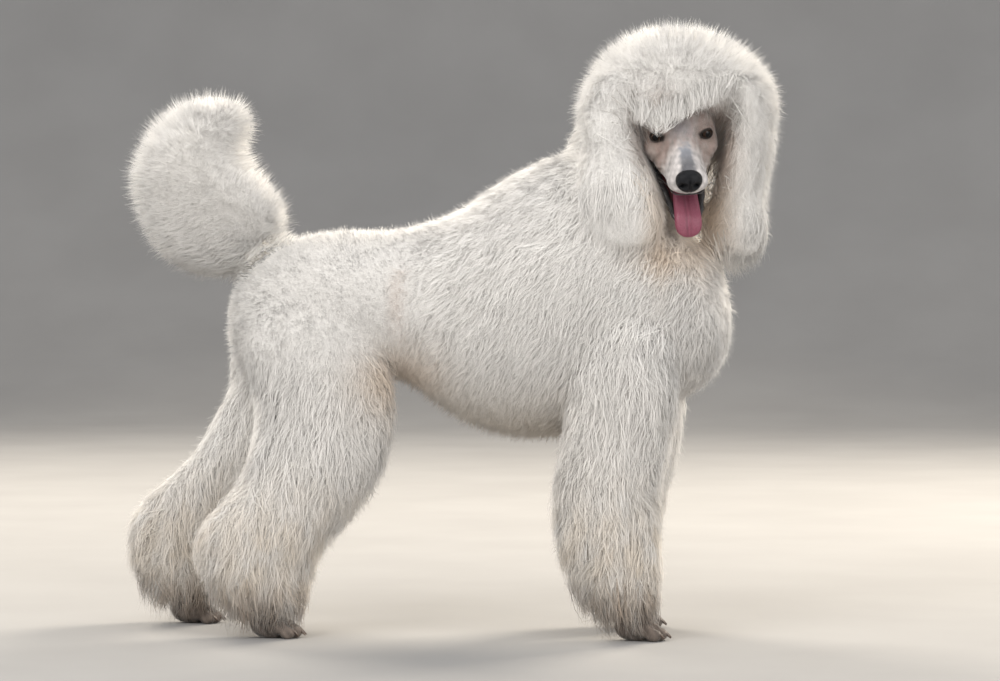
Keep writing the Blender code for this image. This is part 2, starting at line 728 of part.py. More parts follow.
def paw_pieces(name):
    """Sole, toes and claws of one paw."""
    x, y = PAWS[name]
    floor = Matrix.Translation((x, y, 0.0))
    heel = (0.0, 0.0, PAW_HALF_SIZES[2] - SOLE_FLAT)
    pieces = [ball(heel, PAW_HALF_SIZES, floor, 4, 8)]
    for side, forward in zip(TOE_SIDES, TOE_REACH):
        middle = (forward, side, TOE_HALF_SIZES[2] - TOE_FLAT)
        pieces.append(ball(middle, TOE_HALF_SIZES, floor, 3, 6))
        toe_end = forward + TOE_HALF_SIZES[0]
        claw = [(toe_end + ahead, side, height) for ahead, height in (CLAW_ROOT, CLAW_TIP)]
        sizes = [CLAW_RADIUS, CLAW_TAPER * CLAW_RADIUS]
        points, faces = swept(claw, sizes, sizes, 4, (0.0, 1.0, 0.0))
        pieces.append((moved(points, floor), faces))
    return pieces


def floor_block():
    """All that lies under the floor."""
    square = ((-1, -1), (1, -1), (1, 1), (-1, 1))
    corners = np.array([(x, y, z) for z in (-0.2, 0.0) for x, y in square], float)
    faces = [(0, 1, 2, 3), (4, 5, 6, 7), (0, 1, 5, 4), (1, 2, 6, 5), (2, 3, 7, 6), (3, 0, 4, 7)]
    return corners, faces


def coated(name, axis, stations, kind, clear_of=()):
    """One coated form's pieces: its core, then its clumps, or locks on an ear."""
    stack = Stack(axis, stations)
    coat = COATS[name]
    clipped = CLIPPED_UP_TO if kind == "torso" else 0.0
    core = stack.mesh(*CORES[kind], coat.core, clipped)
    return [core, *stack.clumps(coat, kind == "ear", clear_of)]


def build_node(name, pieces, cutters):
    """Joins a node's pieces, cuts it clear of its neighbours and keeps its largest surface."""
    obj = joined(name, pieces)
    for pieces_of_other in cutters:
        crossing = near(obj, pieces_of_other)
        if crossing:
            cut(obj, [grown(*piece) for piece in crossing])
    keep_largest(obj)
    colour, roughness = COLOURS[SLOT_OF.get(name, "coat")]
    material = bpy.data.materials.get(SLOT_OF.get(name, "coat"))
    if material is None:
        material = bpy.data.materials.new(SLOT_OF.get(name, "coat"))
        material.use_nodes = True
        shader = material.node_tree.nodes["Principled BSDF"]
        shader.inputs["Base Color"].default_value = (*colour, 1)
        shader.inputs["Roughness"].default_value = roughness
    obj.data.materials.clear()
    obj.data.materials.append(material)
    return obj


def stand_at_origin(nodes):
    """Moves every node so that the model's box has its bottom centre at the origin."""
    corners = np.array([v.co for obj in nodes for v in obj.data.vertices])
    low, high = reach(corners)
    shift = Vector((-(low[0] + high[0]) / 2, -(low[1] + high[1]) / 2, -low[2]))
    for obj in nodes:
        obj.data.transform(Matrix.Translation(shift))


def main():
    """Builds the dog."""
    for obj in list(bpy.data.objects):
        bpy.data.objects.remove(obj)
    others = [Stack("Z", form) for form in (NECK, TAIL, EAR_RIGHT, EAR_LEFT, *LEGS.values())]
    torso = coated("torso", "X", TORSO, "torso", others)
    trunk = Stack("X", TORSO)
    skull = Stack("X", HEAD, head_frame())
    caps = [Stack("Z", TOPKNOT), trunk, skull]
    neck = coated("neck", "Z", NECK, "neck", caps)
    topknot = coated("topknot", "Z", TOPKNOT, "topknot", [skull])
    tail = coated("tail", "Z", TAIL, "tail", [trunk])
    eyes = [eye_pieces(-1), eye_pieces(1)]
    face = [head_pieces(), jaw_pieces(), nose_pieces(), *eyes]
    nodes = [build_node("torso", torso, [])]
    nodes.append(build_node("neck", neck, [torso, *face, tongue_pieces()]))
    nodes.append(build_node("tail", tail, [torso]))
    for name, stations in LEGS.items():
        paw = name.replace("leg", "paw")
        leg = coated(name, "Z", stations, "leg", [trunk])
        nodes.append(build_node(name, leg, [torso, paw_pieces(paw)]))
        nodes.append(build_node(paw, paw_pieces(paw), [[floor_block()]]))
    nodes.append(build_node("head", head_pieces(), [nose_pieces(), *eyes]))
    nodes.append(build_node("nose", nose_pieces(), [nostrils()]))
    nodes.append(build_node("eye_right", eye_pieces(-1), []))
    nodes.append(build_node("eye_left", eye_pieces(1), []))
    nodes.append(build_node("lower_jaw", jaw_pieces(), [head_pieces(), tongue_pieces()]))
    nodes.append(build_node("tongue", tongue_pieces(), [head_pieces()]))
    nodes.append(build_node("topknot", topknot, [neck, torso, *face]))
    around = [torso, neck, topknot, *face]
    for name, stations in (("ear_right", EAR_RIGHT), ("ear_left", EAR_LEFT)):
        ear = coated(name, "Z", stations, "ear")
        nodes.append(build_node(name, ear, [*around, ear_cup(name)]))
    stand_at_origin(nodes)


main()
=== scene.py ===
"""Looks of a life-size standard poodle, standing with its head turned to its right.

One skin stands for every node of flesh. The coat over it is solid mesh: tapered tufts whose tips lie
on the outer form of the coat and whose roots lie under the skin. All sizes are in metres, but the
forms' stations are given in millimetres. Places are given in the design's axes, and ORIGIN carries
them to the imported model's.
"""

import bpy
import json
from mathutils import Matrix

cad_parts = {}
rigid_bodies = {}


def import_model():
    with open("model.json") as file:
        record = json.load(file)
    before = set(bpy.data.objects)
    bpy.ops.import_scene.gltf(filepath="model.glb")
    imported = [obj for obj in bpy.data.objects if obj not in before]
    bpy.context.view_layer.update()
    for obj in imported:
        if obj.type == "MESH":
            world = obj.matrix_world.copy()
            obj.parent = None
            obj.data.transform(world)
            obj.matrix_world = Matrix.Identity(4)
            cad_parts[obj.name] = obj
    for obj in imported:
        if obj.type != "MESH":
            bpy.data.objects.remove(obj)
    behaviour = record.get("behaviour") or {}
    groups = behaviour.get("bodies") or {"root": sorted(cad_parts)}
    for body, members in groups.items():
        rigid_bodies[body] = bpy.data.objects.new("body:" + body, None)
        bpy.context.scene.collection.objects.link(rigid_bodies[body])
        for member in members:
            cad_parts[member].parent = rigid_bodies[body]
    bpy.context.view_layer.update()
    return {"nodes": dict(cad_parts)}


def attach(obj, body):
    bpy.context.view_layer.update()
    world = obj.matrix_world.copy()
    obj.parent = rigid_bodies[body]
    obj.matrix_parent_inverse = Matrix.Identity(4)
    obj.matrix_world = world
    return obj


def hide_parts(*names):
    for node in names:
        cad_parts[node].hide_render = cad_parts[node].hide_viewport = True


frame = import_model()

import json
import logging
import math
from dataclasses import dataclass, field, replace
from enum import Enum

import bpy
import numpy as np
from bpy.types import Material, Mesh, NodeSocket, NodeTree, Object, bpy_prop_collection
from mathutils import Matrix, Vector

LOG = logging.getLogger("poodle")
Array = np.ndarray
Body = tuple[Array, list[Array]]
Colour = tuple[float, float, float]
BODY = "root"
TONE = "Tone"


def metres(*stations: tuple) -> Array:
    """Stations given in millimetres, in metres."""
    return np.array(stations) / 1000


# Stations of each form: a place along its axis, then the low and high sides across it.
TORSO = metres(
    (-325, 438, 438, 0, 0),
    (-318, 392, 486, -45, 45),
    (-300, 362, 518, -74, 74),
    (-255, 345, 556, -97, 97),
    (-180, 345, 577, -108, 108),
    (-80, 358, 581, -104, 104),
    (0, 306, 603, -117, 117),
    (80, 276, 654, -131, 131),
    (170, 278, 690, -139, 139),
    (260, 300, 668, -136, 136),
    (330, 330, 604, -118, 118),
    (380, 368, 535, -84, 84),
    (397, 400, 492, -48, 48),
    (402, 446, 446, 0, 0),
)
NECK = metres(
    (520, 250, 250, 0, 0),
    (540, 180, 340, -70, 70),
    (600, 150, 372, -90, 92),
    (655, 148, 372, -66, 96),
    (705, 162, 376, -42, 96),
    (760, 200, 366, -30, 80),
    (785, 280, 280, 10, 10),
)
TOPKNOT = metres(
    (690, 300, 300, 10, 10),
    (697, 205, 415, -26, 80),
    (720, 176, 455, -48, 108),
    (738, 172, 466, -86, 115),
    (760, 173, 472, -112, 120),
    (795, 187, 461, -113, 116),
    (832, 213, 430, -94, 97),
    (860, 252, 386, -58, 62),
    (874, 318, 318, 0, 0),
)
TAIL = metres(
    (503, -345, -345, 0, 0),
    (512, -385, -305, -26, 26),
    (535, -424, -262, -46, 46),
    (575, -452, -232, -60, 60),
    (620, -466, -236, -69, 69),
    (655, -470, -262, -74, 74),
    (690, -459, -285, -73, 73),
    (730, -437, -277, -65, 65),
    (758, -405, -292, -47, 47),
    (775, -352, -352, 0, 0),
)
FORELEG_RIGHT = metres(
    (28, 262, 262, -85, -85),
    (34, 212, 304, -122, -48),
    (68, 174, 308, -139, -35),
    (108, 156, 308, -146, -29),
    (157, 147, 308, -149, -26),
    (206, 147, 311, -149, -26),
    (256, 155, 320, -149, -28),
    (310, 165, 330, -150, -32),
    (370, 175, 330, -150, -40),
    (430, 200, 320, -142, -60),
    (470, 255, 255, -100, -100),
)
FORELEG_LEFT = metres(
    (28, 250, 250, 85, 85),
    (34, 202, 290, 48, 122),
    (68, 166, 291, 35, 139),
    (108, 150, 293, 29, 146),
    (157, 145, 301, 26, 149),
    (206, 149, 313, 26, 149),
    (256, 160, 326, 28, 149),
    (310, 170, 332, 32, 150),
    (370, 178, 332, 40, 150),
    (430, 200, 320, 60, 142),
    (470, 255, 255, 100, 100),
)
HINDLEG_RIGHT = metres(
    (22, -250, -250, -92, -92),
    (30, -308, -200, -128, -56),
    (69, -347, -186, -146, -38),
    (108, -362, -173, -153, -30),
    (142, -358, -148, -153, -27),
    (177, -335, -116, -151, -24),
    (207, -308, -95, -149, -21),
    (256, -286, -77, -146, -17),
    (305, -276, -69, -143, -13),
    (360, -284, -72, -138, -10),
    (420, -298, -96, -126, -16),
    (470, -280, -130, -110, -40),
    (500, -210, -210, -80, -80),
)
HINDLEG_LEFT = metres(
    (22, -395, -395, 92, 92),
    (30, -437, -350, 56, 128),
    (61, -478, -336, 40, 143),
    (112, -491, -312, 30, 153),
    (158, -482, -272, 26, 153),
    (193, -452, -235, 22, 151),
    (220, -418, -208, 20, 149),
    (254, -387, -176, 17, 146),
    (295, -362, -148, 13, 143),
    (340, -338, -125, 10, 139),
    (396, -333, -108, 14, 130),
    (450, -305, -120, 30, 116),
    (500, -220, -220, 80, 80),
)
EAR_RIGHT = metres(
    (541, 250, 250, -120, -120),
    (550, 206, 300, -140, -96),
    (580, 190, 312, -150, -80),
    (625, 182, 308, -148, -60),
    (675, 184, 287, -134, -30),
    (720, 196, 276, -112, -10),
    (745, 230, 230, -50, -50),
)
EAR_LEFT = metres(
    (528, 412, 412, -10, -10),
    (538, 378, 446, -52, 30),
    (570, 368, 455, -68, 46),
    (620, 366, 456, -70, 50),
    (670, 370, 460, -66, 48),
    (715, 382, 466, -54, 40),
    (745, 425, 425, 0, 0),
)
# Hair that falls from the topknot over the ears, brow and nape and fills the step under it.
DRAPE_RIGHT = metres(
    (600, 235, 235, -120, -120),
    (620, 200, 280, -146, -80),
    (670, 190, 278, -139, -50),
    (715, 182, 274, -127, -30),
    (755, 180, 290, -117, -20),
    (790, 196, 290, -106, -20),
    (820, 250, 250, -60, -60),
)
DRAPE_LEFT = metres(
    (520, 390, 390, -10, -10),
    (534, 352, 430, -50, 30),
    (562, 344, 444, -62, 36),
    (600, 350, 450, -72, 42),
    (650, 373, 460, -78, 48),
    (700, 380, 468, -88, 56),
    (745, 390, 471, -98, 62),
    (785, 388, 462, -100, 62),
    (815, 420, 420, -20, -20),
)
DRAPE_BROW = metres(
    (721, 300, 300, -80, -80),
    (727, 264, 335, -102, -45),
    (740, 256, 354, -112, -35),
    (755, 250, 385, -116, -30),
    (775, 244, 400, -117, -30),
    (800, 250, 400, -107, -30),
    (820, 320, 320, -60, -60),
)
DRAPE_NAPE = metres(
    (590, 250, 250, 30, 30),
    (625, 160, 350, -20, 96),
    (665, 160, 390, -20, 104),
    (705, 166, 425, -20, 111),
    (745, 172, 440, -10, 114),
    (775, 280, 280, 20, 20),
)
HEAD = metres(
    (-122, 0, 0, 0, 0),
    (-112, -30, 26, -26, 26),
    (-85, -50, 45, -43, 43),
    (-48, -58, 52, -51, 51),
    (-18, -56, 44, -52, 52),
    (4, -54, 29, -49.5, 49.5),
    (22, -52, 15, -42.5, 42.5),
    (45, -50, 5, -35.5, 35.5),
    (70, -50, 0, -31.5, 31.5),
    (90, -49, -5, -29, 29),
    (103, -46, -11, -21.5, 21.5),
    (108.5, -30, -30, 0, 0),
)
# The bare skull and muzzle, slimmer than the solid by the face's short fur.
SKULL = metres(
    (-122, 0, 0, 0, 0),
    (-112, -30, 26, -26, 26),
    (-85, -50, 45, -43, 43),
    (-48, -58, 52, -50, 50),
    (-18, -56, 44, -51, 51),
    (4, -54, 31, -48.5, 48.5),
    (22, -52, 18, -39.5, 39.5),
    (45, -50.5, 6.5, -30, 30),
    (70, -50, 0, -26.2, 26.2),
    (91, -49, -5.5, -24.8, 24.8),
    (102, -46, -12, -19.5, 19.5),
    (107.5, -31, -31, 0, 0),
)
JAW = metres(
    (12, -4, -4, 0, 0),
    (20, -14, 6, -32, 32),
    (50, -15, 6, -36, 36),
    (75, -14, 5, -29.5, 29.5),
    (105, -13, 4, -23.5, 23.5),
    (125, -10, 4, -19.5, 19.5),
    (136, -6, 3, -13, 13),
    (141, -1, -1, 0, 0),
)

# The head's axes: face along X, the dog's left along Y, crown along Z, from midway between the eyes.
EYES_MIDWAY = (0.329, -0.07, 0.7115)
HEAD_TURN_DEG = 10.0
HEAD_NOD_DEG = 24.5
HEAD_TILT_DEG = -4.2
JAW_HINGE = (-0.04, 0.0, -0.036)
JAW_OPEN_DEG = 29.0
EYE_PLACE = (0.01, 0.0335, 0.0)
EYE_SEAT = (0.011, 0.0332, 0.0044)
EYE_RADIUS = 0.0105
# How far from the eye's middle the skin is drawn round it, and how far in front it is cut open.
EYE_HOLLOW = 0.0165
EYE_FRONT = 0.0195
# The cups where the ears meet the face: no tips grow in them, and the coat round them is darkened with
# painted shade.
EAR_CUPS = ((0.297, -0.1, 0.7), (0.382, -0.055, 0.696))
PAWS = {
    "forepaw_right": (0.268, -0.085),
    "forepaw_left": (0.254, 0.085),
    "hindpaw_right": (-0.248, -0.092),
    "hindpaw_left": (-0.392, 0.092),
}
TAIL_SPINE = (
    (-0.25, 0.0, 0.54),
    (-0.3, 0.0, 0.57),
    (-0.36, 0.0, 0.62),
    (-0.38, 0.0, 0.68),
    (-0.362, 0.0, 0.73),
    (-0.325, 0.0, 0.745),
)


def unit(vectors: Array) -> Array:
    """Scales rows of vectors to length 1."""
    return vectors / np.maximum(np.linalg.norm(vectors, axis=-1, keepdims=True), 1e-12)


def smooth(x: Array) -> Array:
    """Eases from 0 to 1: 3 x squared less 2 x cubed, held at its ends."""
    x = np.clip(x, 0.0, 1.0)
    return x * x * (3 - 2 * x)


def cubic(a: Array, b: Array, slope_a: Array, slope_b: Array, s: Array) -> Array:
    """The smooth cubic from a to b that leaves and arrives with the given slopes, at s from 0 to 1."""
    start = a * (2 * s**3 - 3 * s**2 + 1) + slope_a * (s**3 - 2 * s**2 + s)
    return start + b * (3 * s**2 - 2 * s**3) + slope_b * (s**3 - s**2)


def mound(points: Array, centre: tuple, sizes: tuple) -> Array:
    """A round hill of height 1: e to the minus half of the squared distance in units of sizes."""
    return np.exp(-0.5 * (((points - np.array(centre)) / np.array(sizes)) ** 2).sum(axis=-1))


def mixed(a: Array, b: Array | tuple, share: Array) -> Array:
    """Goes from a to b by share, row by row."""
    return a + (np.asarray(b) - a) * share[..., None]


def turns(count: int) -> Array:
    """Angles spaced evenly round a circle, in radians."""
    return np.arange(count) * 2 * math.pi / count


def mirrored(stops: tuple, side: int) -> Array:
    """Stops given for the left side, on the given side: -1 is the right and 1 the left."""
    return np.array(stops) * (1, side, 1)


def head_matrix() -> Matrix:
    """The head's axes in the design's: turned, nodded and tilted about the eyes' middle.

    Returns:
        The matrix that carries places in the head's axes to the design's.
    """
    turn = Matrix.Rotation(math.radians(HEAD_TURN_DEG - 90), 4, "Z")
    nod = Matrix.Rotation(math.radians(HEAD_NOD_DEG), 4, "Y")
    tilt = Matrix.Rotation(math.radians(-HEAD_TILT_DEG), 4, "X")
    return Matrix.Translation(EYES_MIDWAY) @ turn @ nod @ tilt


def jaw_matrix() -> Matrix:
    """The lower jaw's axes in the design's: dropped about its hinge under the head."""
    drop = Matrix.Rotation(math.radians(JAW_OPEN_DEG), 4, "Y")
    return head_matrix() @ Matrix.Translation(JAW_HINGE) @ drop


def carried(points: Array, matrix: Matrix) -> Array:
    """Places given in a matrix's own axes, in the axes that it carries to."""
    turn = np.array(matrix)
    return points @ turn[:3, :3].T + turn[:3, 3]


def read_rows(items: bpy_prop_collection, key: str, width: int, kind: type) -> Array:
    """Reads one property of all a mesh's corners, faces or the like.

    Args:
        items: The mesh's corners, faces or the like.
        key: The property's name.
        width: How many values each has.
        kind: The values' type in the mesh.

    Returns:
        One row for each of them.
    """
    flat = np.empty(len(items) * width, kind)
    items.foreach_get(key, flat)
    return flat.reshape(-1, width)


def corners_of(mesh: Mesh) -> Array:
    """A mesh's corners as rows."""
    return read_rows(mesh.vertices, "co", 3, np.float32).astype(float)


def normals_of(mesh: Mesh) -> Array:
    """The normal at each of a mesh's corners."""
    return read_rows(mesh.vertex_normals, "vector", 3, np.float32).astype(float)


def triangles_of(mesh: Mesh) -> Array:
    """A mesh's faces as triangles."""
    mesh.calc_loop_triangles()
    return read_rows(mesh.loop_triangles, "vertices", 3, np.int32)


def distinct_middle(node: str) -> Array:
    """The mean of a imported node's distinct corners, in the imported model's axes."""
    corners = corners_of(frame["nodes"][node].data)
    return np.unique(np.round(corners, 6), axis=0).mean(axis=0)


HEAD_AXES = head_matrix()
JAW_AXES = jaw_matrix()
RIGHT_EYE = carried(np.array(EYE_PLACE) * (1, -1, 1), HEAD_AXES)
ORIGIN = distinct_middle("eye_right") - RIGHT_EYE


class Axis(Enum):
    """The axis that a form's rings are stacked along."""

    FORWARD = "X"
    UP = "Z"


class Lie(Enum):
    """How a coat lies: falling one way, away from a point, or away from the tail's spine."""

    FALL = "fall"
    BLOOM = "bloom"
    PLUME = "plume"


@dataclass
class Form:
    """A closed body of oval rings along one axis, with a smooth curve through its stations.

    Depth is how far the skin lies under it, axes are the axes that its stations are given in where
    they aren't the design's, samples is how finely its length is looked up, and least half is the
    least half size that a place across it is measured by.
    """

    axis: Axis
    stations: Array
    depth: float = 0.0
    axes: Matrix | None = None
    samples: int = 400
    least_half: float = 0.002

    def __post_init__(self) -> None:
        """Turns stations into rows of place, middles and half sizes, with their slopes."""
        at, low_a, high_a, low_b, high_b = self.stations.T
        middles = (low_a + high_a) / 2, (low_b + high_b) / 2
        self.rows = np.column_stack((at, *middles, (high_a - low_a) / 2, (high_b - low_b) / 2))
        steps = np.linalg.norm(np.diff(self.rows, axis=0), axis=1)
        self.t = np.concatenate(([0.0], np.cumsum(steps))) / steps.sum()
        self.slopes = np.gradient(self.rows, self.t, axis=0)

    def ring(self, t: Array) -> Array:
        """Place, middles and half sizes of the ring at t, by a cubic between stations.

        Args:
            t: From 0 at one end to 1 at the other.

        Returns:
            Five columns for each t.
        """
        i = np.clip(np.searchsorted(self.t, t, side="right") - 1, 0, len(self.t) - 2)
        width = (self.t[i + 1] - self.t[i])[..., None]
        s = (t - self.t[i])[..., None] / width
        slopes = self.slopes[i] * width, self.slopes[i + 1] * width
        return cubic(self.rows[i], self.rows[i + 1], *slopes, s)

    def surface(self, t: Array, angle: Array, sunk: float = 0.0) -> Array:
        """Points of the surface: each ring's middle plus its half sizes times cos and sin.

        Args:
            t: Place along the form, from 0 to 1.
            angle: Place round it, in radians.
            sunk: How deep under the surface the points lie.

        Returns:
            Places in the design's axes.
        """
        at, mid_a, mid_b, half_a, half_b = np.moveaxis(self.ring(t), -1, 0)
        a = mid_a + np.maximum(half_a - sunk, 0.0005) * np.cos(angle)
        b = mid_b + np.maximum(half_b - sunk, 0.0005) * np.sin(angle)
        at = at - sunk * np.clip(2 * t - 1, -1, 1)
        order = (at, b, a) if self.axis is Axis.FORWARD else (a, b, at)
        found = np.stack(order, axis=-1)
        return found if self.axes is None else carried(found, self.axes)

    def own(self, points: Array) -> tuple[Array, Array, Array]:
        """Splits points into places along and across the form.

        Args:
            points: Places in the design's axes.

        Returns:
            The place along the axis, then the two places across it.
        """
        if self.axes is not None:
            points = carried(points, self.axes.inverted())
        x, y, z = np.moveaxis(points, -1, 0)
        return (x, z, y) if self.axis is Axis.FORWARD else (z, x, y)

    def section(self, points: Array) -> tuple[Array, Array, Array, Array, Array]:
        """Looks up the ring that each point lies in.

        Args:
            points: Places in the design's axes.

        Returns:
            The place along the axis, the ring's t, the two places across the ring in units of its
            half sizes, and its mean half size.
        """
        at, a, b = self.own(points)
        t = np.linspace(0.0, 1.0, self.samples)
        t = np.interp(at, np.maximum.accumulate(self.ring(t)[:, 0]), t)
        _, mid_a, mid_b, half_a, half_b = np.moveaxis(self.ring(t), -1, 0)
        half_a, half_b = np.maximum(half_a, self.least_half), np.maximum(half_b, self.least_half)
        return at, t, (a - mid_a) / half_a, (b - mid_b) / half_b, np.sqrt(half_a * half_b)

    def place(self, points: Array) -> tuple[Array, Array]:
        """The nearest t of the form's surface to points, and the angle round it there."""
        _, t, a, b, _ = self.section(points)
        return t, np.arctan2(b, a)

    def distance(self, points: Array) -> Array:
        """How far points lie outside the form, less than 0 within it.

        Across the axis it is the ellipse's own radius less 1, times its mean half size. Past the
        ends the distance along the axis counts too.

        Args:
            points: Places in the design's axes.

        Returns:
            The distance of each.
        """
        at, _, a, b, half = self.section(points)
        across = (np.hypot(a, b) - 1) * half
        first, last = self.ring(np.array((0.0, 1.0)))[:, 0]
        past = np.maximum(np.maximum(first - at, at - last), 0.0)
        return np.where(past > 0, np.hypot(past, np.maximum(across, 0)), across)

    def grid(self, rings: int, sides: int, sunk: float = 0.0) -> Array:
        """The surface on a grid of rings and sides, with no poles, sunk by so much."""
        t = np.linspace(0.0, 1.0, rings + 2)[1:-1]
        return self.surface(*np.meshgrid(t, turns(sides), indexing="ij"), sunk)

    def body(self, rings: int, sides: int, sunk: float = 0.0) -> Body:
        """The closed form as points and faces, with so many rings and sides, sunk by so much."""
        ends = self.surface(np.array([0.0, 1.0]), np.zeros(2), sunk)
        return closed_tube(self.grid(rings, sides, sunk), ends)


HEAD_FORM = Form(Axis.FORWARD, HEAD, axes=HEAD_AXES)
JAW_FORM = Form(Axis.FORWARD, JAW, axes=JAW_AXES)


def grid_quads(rows: int, columns: int, rows_meet: bool = False, columns_meet: bool = False) -> Array:
    """The quads of a grid of corners that are numbered row by row.

    Args:
        rows: How many rows of corners the grid has.
        columns: How many corners a row has.
        rows_meet: Whether the last row joins the first.
        columns_meet: Whether the last column joins the first.

    Returns:
        The four corners of each quad.
    """
    counts = (rows - (not rows_meet), columns - (not columns_meet))
    row, column = np.meshgrid(*(np.arange(count) for count in counts), indexing="ij")
    following, beside = (row + 1) % rows * columns, (column + 1) % columns
    row = row * columns
    corners = (row + column, row + beside, following + beside, following + column)
    return np.stack(corners, axis=-1).reshape(-1, 4)


def closed_tube(grid: Array, ends: Array) -> Body:
    """Closes a grid of rings with a pole at each end.

    Args:
        grid: Rings by sides by 3 places.
        ends: The first and last pole.

    Returns:
        Points, then quads and triangles, all facing out.
    """
    rings, sides = grid.shape[:2]
    quads = grid_quads(rings, sides, columns_meet=True)
    k = np.arange(sides)
    following = (k + 1) % sides
    first, top = rings * sides, (rings - 1) * sides
    caps = np.vstack(
        (
            np.column_stack((np.full(sides, first), following, k)),
            np.column_stack((np.full(sides, first + 1), top + k, top + following)),
        )
    )
    points = np.vstack((grid.reshape(-1, 3), ends))
    a, b, c = np.moveaxis(points[quads[:, :3]] - points.mean(axis=0), 1, 0)
    volume = np.einsum("ij,ij->i", a, np.cross(b, c))
    if volume.sum() < 0:
        quads, caps = quads[:, ::-1], caps[:, ::-1]
    return points, [quads, caps]


def new_mesh(name: str, points: Array, faces: list[Array]) -> Mesh:
    """Makes a mesh from whole arrays.

    Args:
        name: The mesh's name.
        points: Its corners.
        faces: Arrays of corner numbers, one array for each number of sides.

    Returns:
        The mesh, shaded smooth.
    """
    mesh = bpy.data.meshes.new(name)
    corners = np.concatenate([group.ravel() for group in faces]).astype(np.int32)
    sizes = np.concatenate([np.full(len(group), group.shape[1]) for group in faces])
    starts = np.concatenate(([0], np.cumsum(sizes)[:-1])).astype(np.int32)
    mesh.vertices.add(len(points))
    mesh.vertices.foreach_set("co", points.astype(np.float32).ravel())
    mesh.loops.add(len(corners))
    mesh.loops.foreach_set("vertex_index", corners)
    mesh.polygons.add(len(sizes))
    mesh.polygons.foreach_set("loop_start", starts)
    mesh.update(calc_edges=True)
    mesh.shade_smooth()
    return mesh


def new_object(name: str, mesh: Mesh) -> Object:
    """Links a mesh to the scene as an object at the origin.

    Args:
        name: The object's name.
        mesh: Its mesh.

    Returns:
        The object.
    """
    obj = bpy.data.objects.new(name, mesh)
    bpy.context.scene.collection.objects.link(obj)
    return obj


def joined_bodies(bodies: list[Body]) -> Body:
    """Puts several bodies in one set of points and faces.

    Args:
        bodies: Points and faces of each.

    Returns:
        All points, and all faces renumbered.
    """
    starts = np.cumsum([0] + [len(points) for points, _ in bodies])
    faces = [group + start for (_, groups), start in zip(bodies, starts) for group in groups]
    return np.vstack([points for points, _ in bodies]), faces


def finished(obj: Object) -> Object:
    """Makes the result of an object's modifiers its own mesh.

    Args:
        obj: The object.

    Returns:
        The same object, without modifiers.
    """
    graph = bpy.context.evaluated_depsgraph_get()
    result = bpy.data.meshes.new_from_object(obj.evaluated_get(graph))
    obj.modifiers.clear()
    obj.data = result
    return obj


def remeshed(name: str, bodies: list, voxel: float, passes: int) -> Object:
    """Melts overlapping bodies into one smooth surface.

    Args:
        name: The object's name.
        bodies: Points and faces of each body.
        voxel: The new faces' size.
        passes: How many times the surface is smoothed.

    Returns:
        The object.
    """
    obj = new_object(name, new_mesh(name, *joined_bodies(bodies)))
    melt = obj.modifiers.new("melt", "REMESH")
    melt.mode = "VOXEL"
    melt.voxel_size = voxel
    soften = obj.modifiers.new("soften", "SMOOTH")
    soften.factor = 0.5
    soften.iterations = passes
    return finished(obj)


def near_line(points: Array, line: Array | tuple) -> tuple[Array, Array]:
    """The nearest place to points on a line of straight runs.

    Args:
        points: Rows of places.
        line: The line's corners.

    Returns:
        The nearest place to each point, and the direction of its run.
    """
    line = np.array(line, float)
    best = np.full(len(points), np.inf)
    nearest, way = np.zeros_like(points), np.zeros_like(points)
    for a, b in zip(line[:-1], line[1:]):
        share = np.clip((points - a) @ (b - a) / ((b - a) @ (b - a)), 0, 1)
        at = a + share[:, None] * (b - a)
        off = np.linalg.norm(points - at, axis=1)
        closer = off < best
        best = np.where(closer, off, best)
        nearest[closer] = at[closer]
        way[closer] = unit(b - a)
    return nearest, way


def crease(points: Array, line: Array | tuple, width: float) -> Array:
    """A ridge of height 1 along a line: e to the minus half of the squared distance over width."""
    off = np.linalg.norm(points - near_line(points, line)[0], axis=1)
    return np.exp(-0.5 * (off / width) ** 2)


def waves(points: Array, size: float, seed: int) -> Array:
    """Smooth noise of three columns from -1 to 1: a sum of sines along random directions.

    Args:
        points: Rows of places.
        size: How long a wave is.
        seed: Seeds the directions.

    Returns:
        Three values for each point.
    """
    draw = np.random.default_rng(seed)
    ways = draw.normal(size=(5, 3, 3)) * (2 * math.pi / size) / 1.7
    phases = draw.uniform(0, 2 * math.pi, (5, 3))
    return np.sin(np.einsum("nj,kij->nki", points, ways) + phases).sum(axis=1) / 2.6


# Large primes that give each cell of the lattice a number of its own.
LATTICE_PRIMES = (73856093, 19349663, 83492791)


def clump_of(points: Array, cell: Array, seed: int) -> tuple[Array, Array]:
    """The nearest of a jittered lattice of places, one in each cell.

    A cell's number is mixed by the sine of its multiples, and the parts behind the point jitter it.

    Args:
        points: Rows of places.
        cell: The cells' sizes along each axis.
        seed: Seeds the jitter.

    Returns:
        The nearest lattice place, and a number from 0 to 1 that goes with it.
    """
    scaled = points / cell
    home = np.floor(scaled).astype(np.int64)
    best = np.full(len(points), np.inf)
    place, number = np.zeros_like(points), np.zeros(len(points))
    for offset in np.ndindex(3, 3, 3):
        node = home + np.array(offset) - 1
        mixed_up = (node * np.array(LATTICE_PRIMES)).sum(axis=1) + seed * 7919
        noise = [np.sin(mixed_up % 100003 * k) * 43758.5453 for k in (1.1, 2.3, 3.7)]
        shares = np.stack([np.modf(values)[0] for values in noise], axis=1)
        at = node + np.abs(shares)
        off = ((scaled - at) ** 2).sum(axis=1)
        closer = off < best
        best = np.where(closer, off, best)
        place[closer] = (at * cell)[closer]
        number[closer] = np.abs(shares[:, 0] + shares[:, 1])[closer] % 1.0
    return place, number


